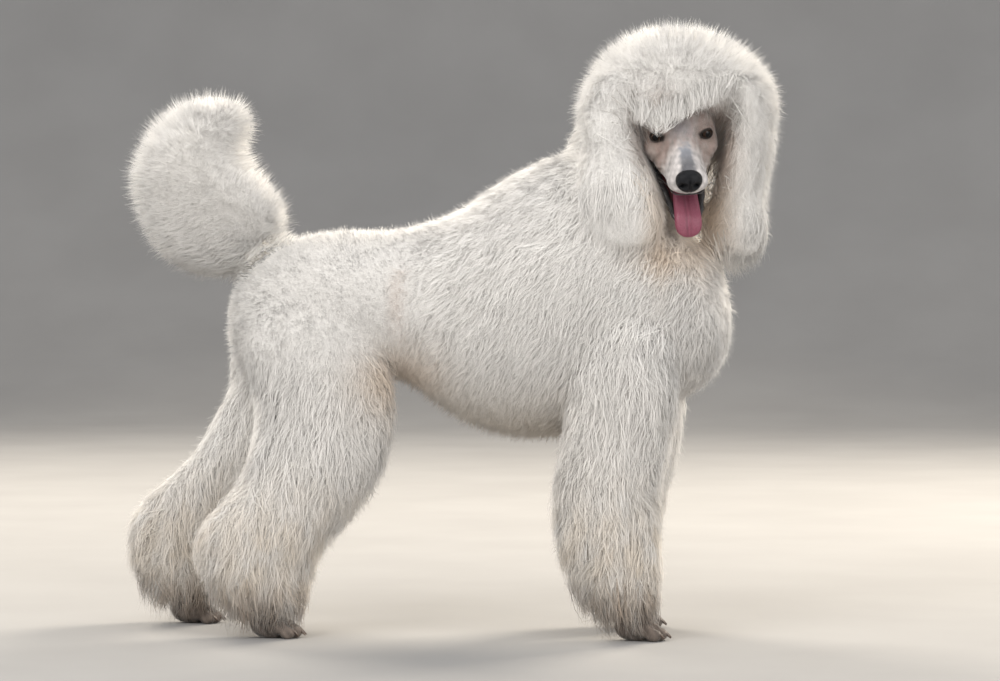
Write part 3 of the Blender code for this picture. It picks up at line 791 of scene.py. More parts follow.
@dataclass(frozen=True)
class Coat:
    """How one form's coat grows and lies.

    Flow is the direction that it falls in, or the point that it blooms from. Length and width are a
    lock's length and half width, and wool and locks are how many of each grow on a square metre.
    Stand is how steep it stands from 0 to 1, arch is how far it bows and wave how far it swings.
    Cell is the size of the locks that tips gather into, and pull is how far they gather. Ragged and
    jitter are how unevenly it is cut and lies. Fuzz scales how far flyaways reach, and hem how far
    the lowest tips hang past the form.
    """

    lie: Lie
    flow: tuple
    length: float
    width: float
    stand: float
    wool: float
    locks: float
    arch: float = 0.1
    wave: float = 0.0
    cell: tuple = (0.012, 0.012, 0.012)
    pull: float = 0.35
    ragged: float = 0.15
    jitter: float = 0.16
    fuzz: float = 1.0
    hem: float = 1.0

    def direction(self, points: Array, normals: Array) -> Array:
        """The way the coat's tips point over the surface, before it is laid on it.

        Args:
            points: Places in the design's axes.
            normals: The surface's normals there.

        Returns:
            Directions of length 1.
        """
        if self.lie is Lie.FALL:
            return np.broadcast_to(unit(np.array(self.flow)), points.shape)
        if self.lie is Lie.BLOOM:
            down = 0.45 + 1.3 * smooth((0.835 - points[:, 2]) / 0.11)
            return unit(unit(points - np.array(self.flow)) - down[:, None] * np.array((0.0, 0.0, 1.0)))
        nearest, way = near_line(points, TAIL_SPINE)
        return unit(unit(points - nearest) + 0.7 * way)


@dataclass
class CoatedForm:
    """A form of the body with the coat that grows on it."""

    form: Form
    coat: Coat


@dataclass
class Drape:
    """Hair that hangs over a step between two forms, and the way it hangs."""

    form: Form
    flow: tuple


# The hair that hangs from the topknot over the ears, the brow and the nape.
DRAPES = (
    Drape(Form(Axis.UP, DRAPE_RIGHT), (0.0, -0.25, -1.0)),
    Drape(Form(Axis.UP, DRAPE_LEFT), (0.0, -0.25, -1.0)),
    Drape(Form(Axis.UP, DRAPE_BROW), (0.0, -0.3, -1.0)),
    Drape(Form(Axis.UP, DRAPE_NAPE), (-0.35, 0.0, -0.95)),
)


def coated_forms() -> dict[str, CoatedForm]:
    """Every form that carries the long coat, with its coat.

    Returns:
        The forms by name.
    """
    jacket = Coat(
        Lie.FALL, (-0.52, 0.0, -0.85), 0.034, 0.001, 0.42, 150000, 22000,
        wave=0.0012, pull=0.24, cell=(0.014, 0.014, 0.014),
    )
    neck = Coat(
        Lie.FALL, (-0.35, 0.0, -0.92), 0.04, 0.001, 0.36, 130000, 22000,
        wave=0.0015, pull=0.26, cell=(0.014, 0.014, 0.024),
    )
    crown = Coat(
        Lie.BLOOM, (0.318, 0.004, 0.7), 0.04, 0.0008, 0.66, 185000, 14000,
        arch=0.06, wave=0.0015, pull=0.14, fuzz=1.3,
    )
    plume = Coat(
        Lie.PLUME, (0.0, 0.0, 0.0), 0.04, 0.0008, 0.66, 200000, 18000,
        arch=0.05, wave=0.002, pull=0.18, cell=(0.013, 0.013, 0.013), fuzz=1.5,
    )
    leg = Coat(
        Lie.FALL, (-0.04, 0.0, -1.0), 0.046, 0.001, 0.32, 140000, 26000,
        wave=0.0026, pull=0.26, cell=(0.013, 0.013, 0.03), hem=1.5,
    )
    ear = Coat(
        Lie.FALL, (0.0, 0.0, -1.0), 0.062, 0.001, 0.2, 140000, 34000,
        arch=0.05, wave=0.0034, pull=0.38, cell=(0.012, 0.012, 0.05),
    )
    return {
        "torso": CoatedForm(Form(Axis.FORWARD, TORSO, 0.014), jacket),
        "neck": CoatedForm(Form(Axis.UP, NECK, 0.015), neck),
        "topknot": CoatedForm(Form(Axis.UP, TOPKNOT, 0.022), crown),
        "tail": CoatedForm(Form(Axis.UP, TAIL, 0.022), plume),
        "foreleg_right": CoatedForm(Form(Axis.UP, FORELEG_RIGHT, 0.015), leg),
        "foreleg_left": CoatedForm(Form(Axis.UP, FORELEG_LEFT, 0.015), leg),
        "hindleg_right": CoatedForm(Form(Axis.UP, HINDLEG_RIGHT, 0.015), leg),
        "hindleg_left": CoatedForm(Form(Axis.UP, HINDLEG_LEFT, 0.015), leg),
        "ear_right": CoatedForm(Form(Axis.UP, EAR_RIGHT, 0.01), replace(ear, hem=2.1)),
        "ear_left": CoatedForm(Form(Axis.UP, EAR_LEFT, 0.01), ear),
    }


# Warm tints under the chin, at the throat and by the ears' inner sides, partly the coat's own apricot and
# partly painted light: a painted glow of light through the hair, and painted shade under the chin. Each is a
# place, its spread and the tint's share.
THROAT_TINTS_AND_PAINTED_LIGHT = (
    ((0.35, -0.09, 0.585), (0.026, 0.05, 0.04), 0.55),
    ((0.37, -0.06, 0.6), (0.02, 0.06, 0.065), 0.6),
    ((0.3, -0.1, 0.575), (0.013, 0.05, 0.05), 0.5),
    ((0.318, -0.125, 0.53), (0.036, 0.05, 0.016), 0.45),
)


# Painted shade along the wrinkles of the left cheek, in the head's axes: each line and the shade's share.
CHEEK_LINES = (
    (((0.03, 0.034, -0.017), (0.018, 0.042, -0.035), (0.004, 0.046, -0.047)), 0.65),
    (((0.046, 0.027, -0.022), (0.034, 0.035, -0.032), (0.022, 0.041, -0.043)), 0.45),
    (((0.036, 0.024, -0.004), (0.03, 0.032, -0.012), (0.026, 0.036, -0.024)), 0.5),
)
# The fold between flank and thigh, on the left side, along which the coat is darkened with painted shade.
FLANK_FOLD = ((-0.066, 0.1, 0.37), (-0.072, 0.106, 0.44), (-0.07, 0.1, 0.52))
# The skin between the tufts is this much darker than the coat.
SKIN_UNDER_COAT = 0.86


@dataclass(frozen=True)
class Palette:
    """The linear colours of coat and skin, some of them painted light and shade, and where each lies."""

    coat: Colour = (0.935, 0.912, 0.875)
    warm: Colour = (0.88, 0.76, 0.61)
    # Painted shade: the dark brown of the shade in the ears' cups, and a lighter share of it along the flank
    # folds.
    crease: Colour = (0.34, 0.19, 0.115)
    soil: Colour = (0.47, 0.345, 0.255)
    face: Colour = (0.4, 0.335, 0.305)
    blush: Colour = (0.4, 0.27, 0.235)
    muzzle: Colour = (0.68, 0.64, 0.625)
    # Warm apricot of the throat, also used for a painted glow of light through the hair and painted shade
    # under the chin.
    throat: Colour = (0.82, 0.6, 0.4)
    bridge: Colour = (0.25, 0.27, 0.31)
    nostril_bridge: Colour = (0.085, 0.09, 0.105)
    rim: Colour = (0.022, 0.016, 0.014)
    white_of_eye: Colour = (0.05, 0.035, 0.03)
    iris: Colour = (0.022, 0.011, 0.006)
    pupil: Colour = (0.002, 0.002, 0.002)
    socket: Colour = (0.24, 0.18, 0.155)
    lip: Colour = (0.014, 0.012, 0.012)
    mouth: Colour = (0.09, 0.018, 0.02)
    paw: Colour = (0.19, 0.152, 0.128)

    def coat_at(self, points: Array) -> Array:
        """The coat's colour: cream, warmer under the body and on the legs, with painted shade in the ears'
        cups and along the flank folds, and warm tints at the throat that are partly its own apricot and
        partly painted glow and shade.

        Args:
            points: Places in the design's axes.

        Returns:
            Rows of linear colour.
        """
        colour = np.broadcast_to(self.coat, points.shape)
        under = smooth((0.42 - points[:, 2]) / 0.14) * mound(points, (0.1, 0.0, 0.3), (0.16, 0.07, 0.06))
        colour = mixed(colour, self.warm, 0.7 * under)
        for side in (-1, 1):
            flank = mound(points, (-0.068, side * 0.09, 0.352), (0.04, 0.06, 0.034))
            colour = mixed(colour, self.throat, 0.6 * flank)
            # Painted shade along the fold between flank and thigh.
            fold = crease(points, mirrored(FLANK_FOLD, side), 0.008)
            colour = mixed(colour, np.array(self.crease) * 1.5, 0.3 * fold)
        # Warm tints at the throat: partly the coat's apricot, partly painted glow and painted shade under the
        # chin.
        for place, sizes, share in THROAT_TINTS_AND_PAINTED_LIGHT:
            colour = mixed(colour, self.throat, share * mound(points, place, sizes))
        # Painted shade in the cup between each ear and the face.
        for cup in EAR_CUPS:
            colour = mixed(colour, self.crease, 0.85 * mound(points, cup, (0.019, 0.018, 0.034)))
        stain = 0.5 + 0.5 * waves(points, 0.03, 22)[:, 0]
        lower = smooth((0.28 - points[:, 2]) / 0.2) * (0.2 + 0.5 * stain)
        colour = mixed(colour, self.warm, lower)
        floor = smooth((0.085 - points[:, 2]) / 0.08) * (0.25 + 0.55 * stain)
        return mixed(colour, self.soil, floor)

    def skin_at(self, points: Array) -> Array:
        """The skin's colours: the coat's over the body, then the face, the mouth and the paws.

        Args:
            points: Places in the design's axes.

        Returns:
            Rows of linear colour.
        """
        colour = self.coat_at(points) * SKIN_UNDER_COAT
        bare = smooth((0.052 - points[:, 2]) / 0.012)
        dirt = 0.8 + 0.35 * waves(points, 0.01, 27)[:, :1]
        colour = mixed(colour, np.array(self.paw) * dirt, bare)
        own = carried(points, HEAD_AXES.inverted())
        reach = HEAD_FORM.distance(points)
        on_face = smooth((0.015 - reach) / 0.004) * smooth((own[:, 0] + 0.05) / 0.02)
        colour = mixed(colour, self.face_at(own), on_face)
        jaw_own = carried(points, JAW_AXES.inverted())
        on_jaw = smooth((0.004 - JAW_FORM.distance(points)) / 0.003)
        on_jaw *= smooth((jaw_own[:, 0] - 0.03) / 0.01) * (reach > -0.001)
        inside = smooth((jaw_own[:, 2] + 0.0035) / 0.003)
        jaw_colour = mixed(np.broadcast_to(np.array(self.muzzle) * 0.9, points.shape), self.mouth, inside)
        return mixed(colour, jaw_colour, on_jaw)

    def face_at(self, own: Array) -> Array:
        """The face: grey-pink skin, a pale muzzle, the blue-grey bridge, dark eyes and mouth.

        Args:
            own: Places in the head's axes.

        Returns:
            Rows of linear colour.
        """
        u, v, w = own.T
        colour = np.broadcast_to(self.face, own.shape)
        colour = mixed(colour, self.muzzle, smooth((u - 0.03) / 0.035))
        patch = 0.5 + 0.5 * waves(own, 0.018, 8)
        streak = waves(own * (0.5, 1.0, 1.0), 0.006, 18)[:, :1]
        colour = colour * (0.72 + 0.4 * patch[:, :1] + 0.1 * streak)
        blush = smooth((patch[:, 1] - 0.45) / 0.3) * smooth((0.06 - u) / 0.03)
        colour = mixed(colour, self.blush, 0.45 * blush)
        ragged = 0.0012 * waves(own, 0.012, 14)[:, 0]
        half = 0.0085 + 0.055 * np.clip(u - 0.04, 0, 0.06) + ragged
        bridge = smooth((half + 0.003 - np.abs(v)) / 0.008) * smooth((u - 0.034 + 5 * ragged) / 0.03)
        bridge *= smooth((w + 0.03) / 0.012)
        towards_nose = smooth((u - 0.055) / 0.04)
        tint = mixed(np.broadcast_to(self.bridge, own.shape), self.nostril_bridge, towards_nose)
        colour = mixed(colour, tint, 0.85 * bridge)
        stop = mound(own, (0.018, 0.0, 0.014), (0.014, 0.014, 0.014)) * (0.7 + 0.3 * patch[:, 1])
        colour = mixed(colour, self.bridge, 0.6 * stop)
        for socket in SOCKETS:
            away = np.linalg.norm(own - socket.centre, axis=1)
            off, rim = socket.seen_from(own)
            colour = mixed(colour, self.socket, 0.75 * smooth((0.025 - away) / 0.012))
            edge = smooth((1.5 - off / rim) / 0.34) * smooth((EYE_HOLLOW - away) / 0.003)
            colour = mixed(colour, self.rim, edge)
        # Painted shade along the wrinkles of both cheeks.
        for side in (-1, 1):
            for line, share in CHEEK_LINES:
                colour = mixed(colour, self.socket, share * crease(own, mirrored(line, side), 0.0028))
        under = smooth((-0.0445 - w) / 0.003) * smooth(u / 0.008)
        colour = mixed(colour, self.lip, under)
        return mixed(colour, self.mouth, under * smooth((0.026 - np.abs(v)) / 0.004))


PALETTE = Palette()


class Grain(Enum):
    """What breaks up a finish: soft noise, or cells like leather."""

    NOISE = "noise"
    CELLS = "cells"


@dataclass(frozen=True)
class Finish:
    """One material: two colours that a grain mixes, a roughness and a relief in metres.

    Grain is how many times the pattern repeats in a metre, gloss is a thin clear film, and tone says
    that the mesh carries a colour that multiplies the material's.
    """

    name: str
    base: Colour
    second: Colour
    roughness: float
    grain: float
    relief: float
    kind: Grain = Grain.NOISE
    specular: float = 0.5
    gloss: float = 0.0
    sheen: float = 0.0
    tone: bool = False

    def material(self) -> Material:
        """Builds the material's nodes.

        Returns:
            The material, made once for each name.
        """
        known = bpy.data.materials.get(self.name)
        if known is not None:
            return known
        material = bpy.data.materials.new(self.name)
        material.use_nodes = True
        tree = material.node_tree
        shader = tree.nodes["Principled BSDF"]
        plain = {
            "Roughness": self.roughness,
            "Specular IOR Level": self.specular,
            "Coat Weight": self.gloss,
            "Coat Roughness": 0.08,
            "Sheen Weight": self.sheen,
            "Sheen Roughness": 0.5,
        }
        for socket, value in plain.items():
            shader.inputs[socket].default_value = value
        place = tree.nodes.new("ShaderNodeTexCoord")
        if self.kind is Grain.CELLS:
            pattern = tree.nodes.new("ShaderNodeTexVoronoi")
            pattern.feature = "DISTANCE_TO_EDGE"
            value = pattern.outputs["Distance"]
        else:
            pattern = tree.nodes.new("ShaderNodeTexNoise")
            pattern.inputs["Detail"].default_value = 4.0
            value = pattern.outputs["Fac"]
        pattern.inputs["Scale"].default_value = self.grain
        tree.links.new(place.outputs["Object"], pattern.inputs["Vector"])
        shares = tree.nodes.new("ShaderNodeMapRange")
        shares.inputs["From Min"].default_value = 0.0 if self.kind is Grain.CELLS else 0.35
        shares.inputs["From Max"].default_value = 0.25 if self.kind is Grain.CELLS else 0.65
        tree.links.new(value, shares.inputs["Value"])
        blend = tree.nodes.new("ShaderNodeMix")
        blend.data_type = "RGBA"
        blend.inputs[6].default_value = (*self.base, 1)
        blend.inputs[7].default_value = (*self.second, 1)
        tree.links.new(shares.outputs["Result"], blend.inputs[0])
        colour = blend.outputs[2]
        if self.tone:
            colour = self.toned(tree, colour)
        tree.links.new(colour, shader.inputs["Base Color"])
        if self.relief:
            bump = tree.nodes.new("ShaderNodeBump")
            bump.inputs["Strength"].default_value = 1.0
            bump.inputs["Distance"].default_value = self.relief
            tree.links.new(shares.outputs["Result"], bump.inputs["Height"])
            tree.links.new(bump.outputs["Normal"], shader.inputs["Normal"])
        return material

    def toned(self, tree: NodeTree, colour: NodeSocket) -> NodeSocket:
        """Multiplies a colour by the tone that the mesh carries.

        Args:
            tree: The material's nodes.
            colour: The colour so far.

        Returns:
            The product.
        """
        carried_tone = tree.nodes.new("ShaderNodeAttribute")
        carried_tone.attribute_name = TONE
        product = tree.nodes.new("ShaderNodeMix")
        product.data_type = "RGBA"
        product.blend_type = "MULTIPLY"
        product.inputs[0].default_value = 1.0
        tree.links.new(colour, product.inputs[6])
        tree.links.new(carried_tone.outputs["Color"], product.inputs[7])
        return product.outputs[2]

    def dress(self, obj: Object) -> Object:
        """Gives an object this material alone.

        Args:
            obj: The object.

        Returns:
            The same object.
        """
        obj.data.materials.clear()
        obj.data.materials.append(self.material())
        return obj


WHITE = (1.0, 1.0, 1.0)
FUR = Finish("fur", (0.96, 0.96, 0.96), WHITE, 0.75, 60.0, 0.0, specular=0.2, sheen=0.4, tone=True)
HIDE = Finish("hide", (0.84, 0.84, 0.84), WHITE, 0.65, 900.0, 0.0006, specular=0.3, tone=True)
LEATHER = Finish(
    "nose_leather", (0.002, 0.002, 0.003), (0.009, 0.01, 0.013), 0.34, 1100.0, 0.0003,
    kind=Grain.CELLS, specular=0.22, gloss=0.05,
)
EYEBALL = Finish("eyeball", (0.85, 0.85, 0.85), WHITE, 0.16, 900.0, 0.0, specular=0.12, gloss=0.16, tone=True)
LID = Finish("lid_rim", (0.01, 0.008, 0.007), (0.026, 0.019, 0.016), 0.5, 700.0, 0.0002, specular=0.25)
LIP = Finish("lip_skin", (0.01, 0.009, 0.009), (0.034, 0.03, 0.031), 0.38, 500.0, 0.0004, gloss=0.2)
TONGUE = Finish(
    "tongue_flesh", (0.175, 0.036, 0.064), (0.245, 0.062, 0.1), 0.36, 900.0, 0.0004, gloss=0.12, tone=True
)
HORN = Finish("claw_horn", (0.045, 0.028, 0.02), (0.11, 0.075, 0.055), 0.36, 300.0, 0.0001)
FLOOR = Finish("studio_floor", (0.28, 0.275, 0.27), (0.3, 0.295, 0.29), 0.85, 3.0, 0.0)


def paint(mesh: Mesh, colours: Array) -> None:
    """Stores a tone at each of a mesh's corners.

    Args:
        mesh: The mesh.
        colours: Rows of linear colour.
    """
    layer = mesh.attributes.new(TONE, "FLOAT_COLOR", "POINT")
    full = np.column_stack((colours, np.ones(len(colours)))).astype(np.float32)
    layer.data.foreach_set("color", full.ravel())


def ride(obj: Object, slot: str, *nodes: str) -> Object:
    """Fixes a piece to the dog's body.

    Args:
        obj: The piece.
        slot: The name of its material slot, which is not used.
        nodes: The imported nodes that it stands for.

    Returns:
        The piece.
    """
    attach(obj, BODY)
    if nodes:
        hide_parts(*nodes)
    LOG.info("%s: %d triangles", obj.name, len(obj.data.loops) - 2 * len(obj.data.polygons))
    return obj


def ellipsoid(centre: Array, half_sizes: Array | tuple, rings: int = 14, sides: int = 20) -> Body:
    """A closed egg: its middle plus half sizes times the sphere's cos and sin of two angles.

    Args:
        centre: Its middle.
        half_sizes: Its half size along each axis.
        rings: How many rings it has between its poles.
        sides: How many sides a ring has.

    Returns:
        Points and faces.
    """
    polar = np.arange(1, rings + 1) * math.pi / (rings + 1)
    p, a = np.meshgrid(polar, turns(sides), indexing="ij")
    ball = np.stack((np.cos(p), np.sin(p) * np.cos(a), np.sin(p) * np.sin(a)), axis=-1)
    ends = np.array([(1.0, 0.0, 0.0), (-1.0, 0.0, 0.0)])
    return closed_tube(ball * half_sizes + centre, ends * half_sizes + centre)


def swept_grid(
    line: Array, half_widths: Array, half_heights: Array, across: Array, sides: int
) -> tuple[Array, Array]:
    """A tube along a line: each place plus cos times its width across and sin times its height.

    Args:
        line: The tube's middle line.
        half_widths: Its half width at each place.
        half_heights: Its half height at each place.
        across: The direction of its width.
        sides: How many sides it has.

    Returns:
        A grid of places, and its two poles.
    """
    ahead = unit(np.gradient(line, axis=0))
    side = unit(across - (ahead @ across)[:, None] * ahead)
    up = np.cross(ahead, side)
    angle = turns(sides)
    grid = (
        line[:, None, :]
        + (half_widths[:, None] * np.cos(angle))[..., None] * side[:, None, :]
        + (half_heights[:, None] * np.sin(angle))[..., None] * up[:, None, :]
    )
    ends = np.array((line[0] - ahead[0] * half_heights[0], line[-1] + ahead[-1] * half_heights[-1]))
    return grid, ends


def drawn_through(stops: tuple, count: int) -> Array:
    """Places spaced evenly along a smooth curve through a few stops.

    Each stretch is a cubic whose slopes are half the run between the stops on either side.

    Args:
        stops: Rows of values, one for each stop.
        count: How many places to give.

    Returns:
        Rows of values.
    """
    rows = np.array(stops, float)
    slopes = np.gradient(rows, axis=0)
    x = np.linspace(0, len(rows) - 1, count)
    i = np.clip(x.astype(int), 0, len(rows) - 2)
    s = (x - i)[:, None]
    return cubic(rows[i], rows[i + 1], slopes[i], slopes[i + 1], s)


@dataclass
class EyeSocket:
    """One eye's axes and its almond opening, in the head's axes. Side is -1 right, 1 left.

    The half sizes are angles from the line of sight, in radians, at the corners, the upper lid and
    the lower lid. The angles given as iris and pupil are where each of them ends.
    """

    side: int
    outward_deg: float = 24.0
    upward_deg: float = 6.0
    half_long: float = 0.92
    half_upper: float = 0.66
    half_lower: float = 0.5
    lid_standoff: float = 0.0009
    cornea: float = 0.07
    iris: float = 0.84
    pupil: float = 0.42

    def __post_init__(self) -> None:
        """Works out the eye's middle and its three directions."""
        yaw, pitch = math.radians(self.outward_deg), math.radians(self.upward_deg)
        self.centre = np.array(EYE_SEAT) * (1, self.side, 1)
        look = (math.cos(yaw) * math.cos(pitch), self.side * math.sin(yaw) * math.cos(pitch), math.sin(pitch))
        self.look = np.array(look)
        self.up = unit(np.array((0.0, 0.0, 1.0)) - self.look[2] * self.look)
        self.out = self.side * np.cross(self.up, self.look)
        self.suffix = "right" if self.side < 0 else "left"

    def rim_angle(self, round_eye: Array) -> Array:
        """How far the lids' edge lies from the line of sight: an ellipse with two half heights."""
        tall = np.where(np.sin(round_eye) > 0, self.half_upper, self.half_lower)
        return 1 / np.hypot(np.cos(round_eye) / self.half_long, np.sin(round_eye) / tall)

    def directions(self, off: Array, round_eye: Array) -> Array:
        """Directions that lie off the line of sight by an angle, towards a place round the eye."""
        across = np.cos(round_eye)[..., None] * self.out + np.sin(round_eye)[..., None] * self.up
        return np.cos(off)[..., None] * self.look + np.sin(off)[..., None] * across

    def opened(self, points: Array) -> Array:
        """Draws the skin back from the eyeball inside the almond, and over it round about.

        Within the almond the skin sinks to about half the eyeball's radius. Round it the skin keeps
        just off the eyeball and eases out to its own distance, and behind the eye it isn't moved.

        Args:
            points: The skin's places in the head's axes.

        Returns:
            The places after it.
        """
        arm = points - self.centre
        reach = np.linalg.norm(arm, axis=-1)
        way = unit(arm)
        off, rim = self.seen_from(points)
        lid = EYE_RADIUS + self.lid_standoff
        kept = np.maximum(smooth((off - 1.08 * rim) / 0.5), smooth((reach - EYE_HOLLOW) / 0.011))
        over = np.maximum(lid + (reach - lid) * kept, lid * (1 - smooth((off - 1.7) / 0.5)))
        new = np.where((off < rim) & (reach < EYE_FRONT), EYE_RADIUS * 0.55, over)
        return np.where((off < 2.2)[..., None], self.centre + way * new[..., None], points)

    def seen_from(self, points: Array) -> tuple[Array, Array]:
        """How far points lie off the line of sight, and how far the lids' edge does on that side.

        Args:
            points: Places in the head's axes.

        Returns:
            Two angles in radians for each.
        """
        way = unit(points - self.centre)
        off = np.arccos(np.clip(way @ self.look, -1, 1))
        return off, self.rim_angle(np.arctan2(way @ self.up, way @ self.out))

    def eyeball(self) -> Object:
        """The eyeball: a sphere that bulges at the cornea, with a dark iris round the pupil.

        Returns:
            The piece.
        """
        off, turn = np.meshgrid(np.linspace(0, math.pi, 50)[1:-1], turns(64), indexing="ij")
        reach = EYE_RADIUS * (1 + self.cornea * np.exp(-((off / 0.55) ** 2)))
        grid = self.centre + self.directions(off, turn) * reach[..., None]
        poles = self.centre + np.array((self.look * (1 + self.cornea), -self.look)) * EYE_RADIUS
        points, faces = closed_tube(grid, poles)
        arm = unit(points - self.centre)
        angle = np.arccos(np.clip(arm @ self.look, -1, 1))
        streak = np.sin(23 * np.arctan2(arm @ self.up, arm @ self.out)) * 0.5 + 0.5
        iris = np.array(PALETTE.iris) * (0.6 + 0.6 * streak)[:, None]
        tone = np.where((angle < self.iris)[:, None], iris, PALETTE.white_of_eye)
        dark = (angle < self.pupil) | (abs(angle - self.iris) < 0.08)
        tone = np.where(dark[:, None], PALETTE.pupil, tone)
        name = f"eyeball_{self.suffix}"
        mesh = new_mesh(name, carried(points, HEAD_AXES) + ORIGIN, faces)
        paint(mesh, tone)
        return EYEBALL.dress(new_object(name, mesh))

    def lids(self) -> Object:
        """The dark rims of both lids, a ring on the eyeball that thickens over its top.

        Each place of the ring's line plus cos times its side and sin times its outward way.

        Returns:
            The piece.
        """
        count, sides = 72, 10
        turn = turns(count)
        line = self.centre + self.directions(self.rim_angle(turn) * 1.03, turn) * (EYE_RADIUS + 0.0006)
        thick = 0.0008 + 0.0003 * np.clip(np.sin(turn), 0, 1)
        ahead = unit(np.roll(line, -1, axis=0) - np.roll(line, 1, axis=0))
        outward = unit(line - self.centre)
        across = np.cross(ahead, outward)
        angle = turns(sides)[None, :, None]
        ring = np.cos(angle) * across[:, None, :] + np.sin(angle) * outward[:, None, :]
        points = (line[:, None, :] + ring * thick[:, None, None]).reshape(-1, 3)
        quads = grid_quads(count, sides, rows_meet=True, columns_meet=True)
        a, b, c = np.moveaxis(points[quads[:, :3]], 1, 0)
        outside = points - np.repeat(line, sides, axis=0)
        if (np.cross(b - a, c - a) * outside[quads[:, 0]]).sum() < 0:
            quads = quads[:, ::-1]
        name = f"lids_{self.suffix}"
        return LID.dress(new_object(name, new_mesh(name, carried(points, HEAD_AXES) + ORIGIN, [quads])))


SOCKETS = (EyeSocket(-1), EyeSocket(1))


# Hills and hollows of the face's left side, in the head's axes: height, middle and spread.
CHEEK_HILLS = (
    (0.003, (0.008, 0.032, 0.019), (0.01, 0.01, 0.005)),  # brow
    (-0.0035, (0.026, 0.026, -0.004), (0.009, 0.007, 0.01)),  # hollow before the eye
    (0.004, (0.006, 0.044, -0.018), (0.016, 0.01, 0.008)),  # cheekbone
    (0.0016, (0.086, 0.022, -0.036), (0.012, 0.008, 0.008)),  # whisker pad
    (-0.0022, (0.056, 0.026, -0.018), (0.018, 0.008, 0.007)),  # hollow behind the pad
    (0.0016, (0.04, 0.03, -0.044), (0.018, 0.008, 0.006)),  # flew of the lip
)
# Those on the middle line: the stop between the eyes and the bridge of the nose.
MIDDLE_HILLS = (
    (-0.002, (0.014, 0.0, 0.022), (0.012, 0.007, 0.012)),
    (0.0008, (0.07, 0.0, 0.0), (0.03, 0.006, 0.006)),
)
# The folds of the left cheek, each a line and its height: two under the eye, one by the nose's root
# and one over the cheekbone.
CHEEK_FOLDS = (
    (((0.03, 0.032, -0.01), (0.02, 0.04, -0.028), (0.006, 0.046, -0.04)), 0.0019),
    (((0.044, 0.03, -0.028), (0.026, 0.04, -0.038), (0.012, 0.044, -0.048)), 0.0017),
    (((0.02, 0.024, 0.01), (0.032, 0.02, 0.0), (0.044, 0.021, -0.01)), 0.0007),
    (((0.018, 0.044, -0.014), (0.008, 0.048, -0.028)), 0.001),
)
FOLD_WIDTH = 0.002
# The groove under a fold lies this far below it.
FOLD_DROP = 0.0045
LIP_CLEFT = ((0.108, 0.0, -0.038), (0.104, 0.0, -0.05))


@dataclass
class HeadShape:
    """Skull, muzzle and lower jaw as closed surfaces in the head's own axes, with their modelling."""

    rings: int = 180
    sides: int = 180
    squareness: float = 2.15
    narrowing: float = 0.3

    def squared(self, x: Array) -> Array:
        """Rounds a section towards a square: the sign of x times its size to a power under 1."""
        return np.sign(x) * np.abs(x) ** (2 / self.squareness)

    def skull(self) -> Body:
        """The skull and upper jaw, its rings squared, narrowed along the bridge and modelled.

        Returns:
            Points in the design's axes and faces.
        """
        form = Form(Axis.FORWARD, SKULL)
        t, angle = np.meshgrid(np.linspace(0, 1, self.rings + 2)[1:-1], turns(self.sides), indexing="ij")
        at, mid_w, mid_v, half_w, half_v = np.moveaxis(form.ring(t), -1, 0)
        high, side = self.squared(np.cos(angle)), self.squared(np.sin(angle))
        narrow = self.narrowing * smooth((at - 0.005) / 0.035) * smooth((0.112 - at) / 0.02)
        grid = np.stack((at, mid_v + half_v * side * (1 - narrow * high), mid_w + half_w * high), axis=-1)
        grid = self.modelled(grid)
        for socket in SOCKETS:
            grid = socket.opened(grid)
        ends = np.array([(at, 0, low) for at, low, *_ in (SKULL[0], SKULL[-1])])
        points, faces = closed_tube(grid, ends)
        return carried(points, HEAD_AXES), faces

    def modelled(self, grid: Array) -> Array:
        """Adds brows, cheeks, the stop, whisker pads and folds, as hills and ridges along the normal.

        Args:
            grid: Rings by sides by 3 places in the head's axes.

        Returns:
            The grid after it.
        """
        normal = unit(np.cross(np.gradient(grid, axis=1), np.gradient(grid, axis=0)))
        middle = grid.mean(axis=1, keepdims=True)
        normal *= np.sign((normal * (grid - middle)).sum(axis=-1, keepdims=True))
        flat = grid.reshape(-1, 3)
        rise = np.zeros(len(flat))
        for side in (-1, 1):
            for height, middle, spread in CHEEK_HILLS:
                rise += height * mound(flat, mirrored(middle, side), spread)
            for line, height in CHEEK_FOLDS:
                fold = mirrored(line, side)
                rise += height * crease(flat, fold, FOLD_WIDTH)
                rise -= 0.9 * height * crease(flat, fold - (0.0, 0.0, FOLD_DROP), FOLD_WIDTH)
        for height, middle, spread in MIDDLE_HILLS:
            rise += height * mound(flat, middle, spread)
        rise -= 0.0022 * crease(flat, LIP_CLEFT, 0.0012)
        rise += 0.0003 * waves(flat, 0.012, 5)[:, 0]
        return grid + normal * rise.reshape(grid.shape[:2])[..., None]

    def jaw(self) -> Body:
        """The lower jaw, its top sunk between the lips as the floor of the mouth.

        Returns:
            Points in the design's axes and faces.
        """
        form = Form(Axis.FORWARD, JAW)
        grid = form.grid(110, 90)
        middle = grid.mean(axis=1, keepdims=True)
        half = np.abs(grid - middle).max(axis=1, keepdims=True)[..., 1]
        across = np.abs(grid[..., 1]) / np.maximum(half, 0.004)
        on_top = smooth((grid[..., 2] - middle[..., 2]) / 0.004)
        grid[..., 2] -= 0.006 * on_top * smooth((0.8 - across) / 0.35)
        ends = np.array([(at, 0, low) for at, low, *_ in (JAW[0], JAW[-1])])
        points, faces = closed_tube(grid, ends)
        return carried(points, JAW_AXES), faces


# Each toe's place across the paw, and ahead of its middle.
TOES = ((-0.0178, 0.018), (-0.0062, 0.026), (0.0062, 0.026), (0.0178, 0.018))
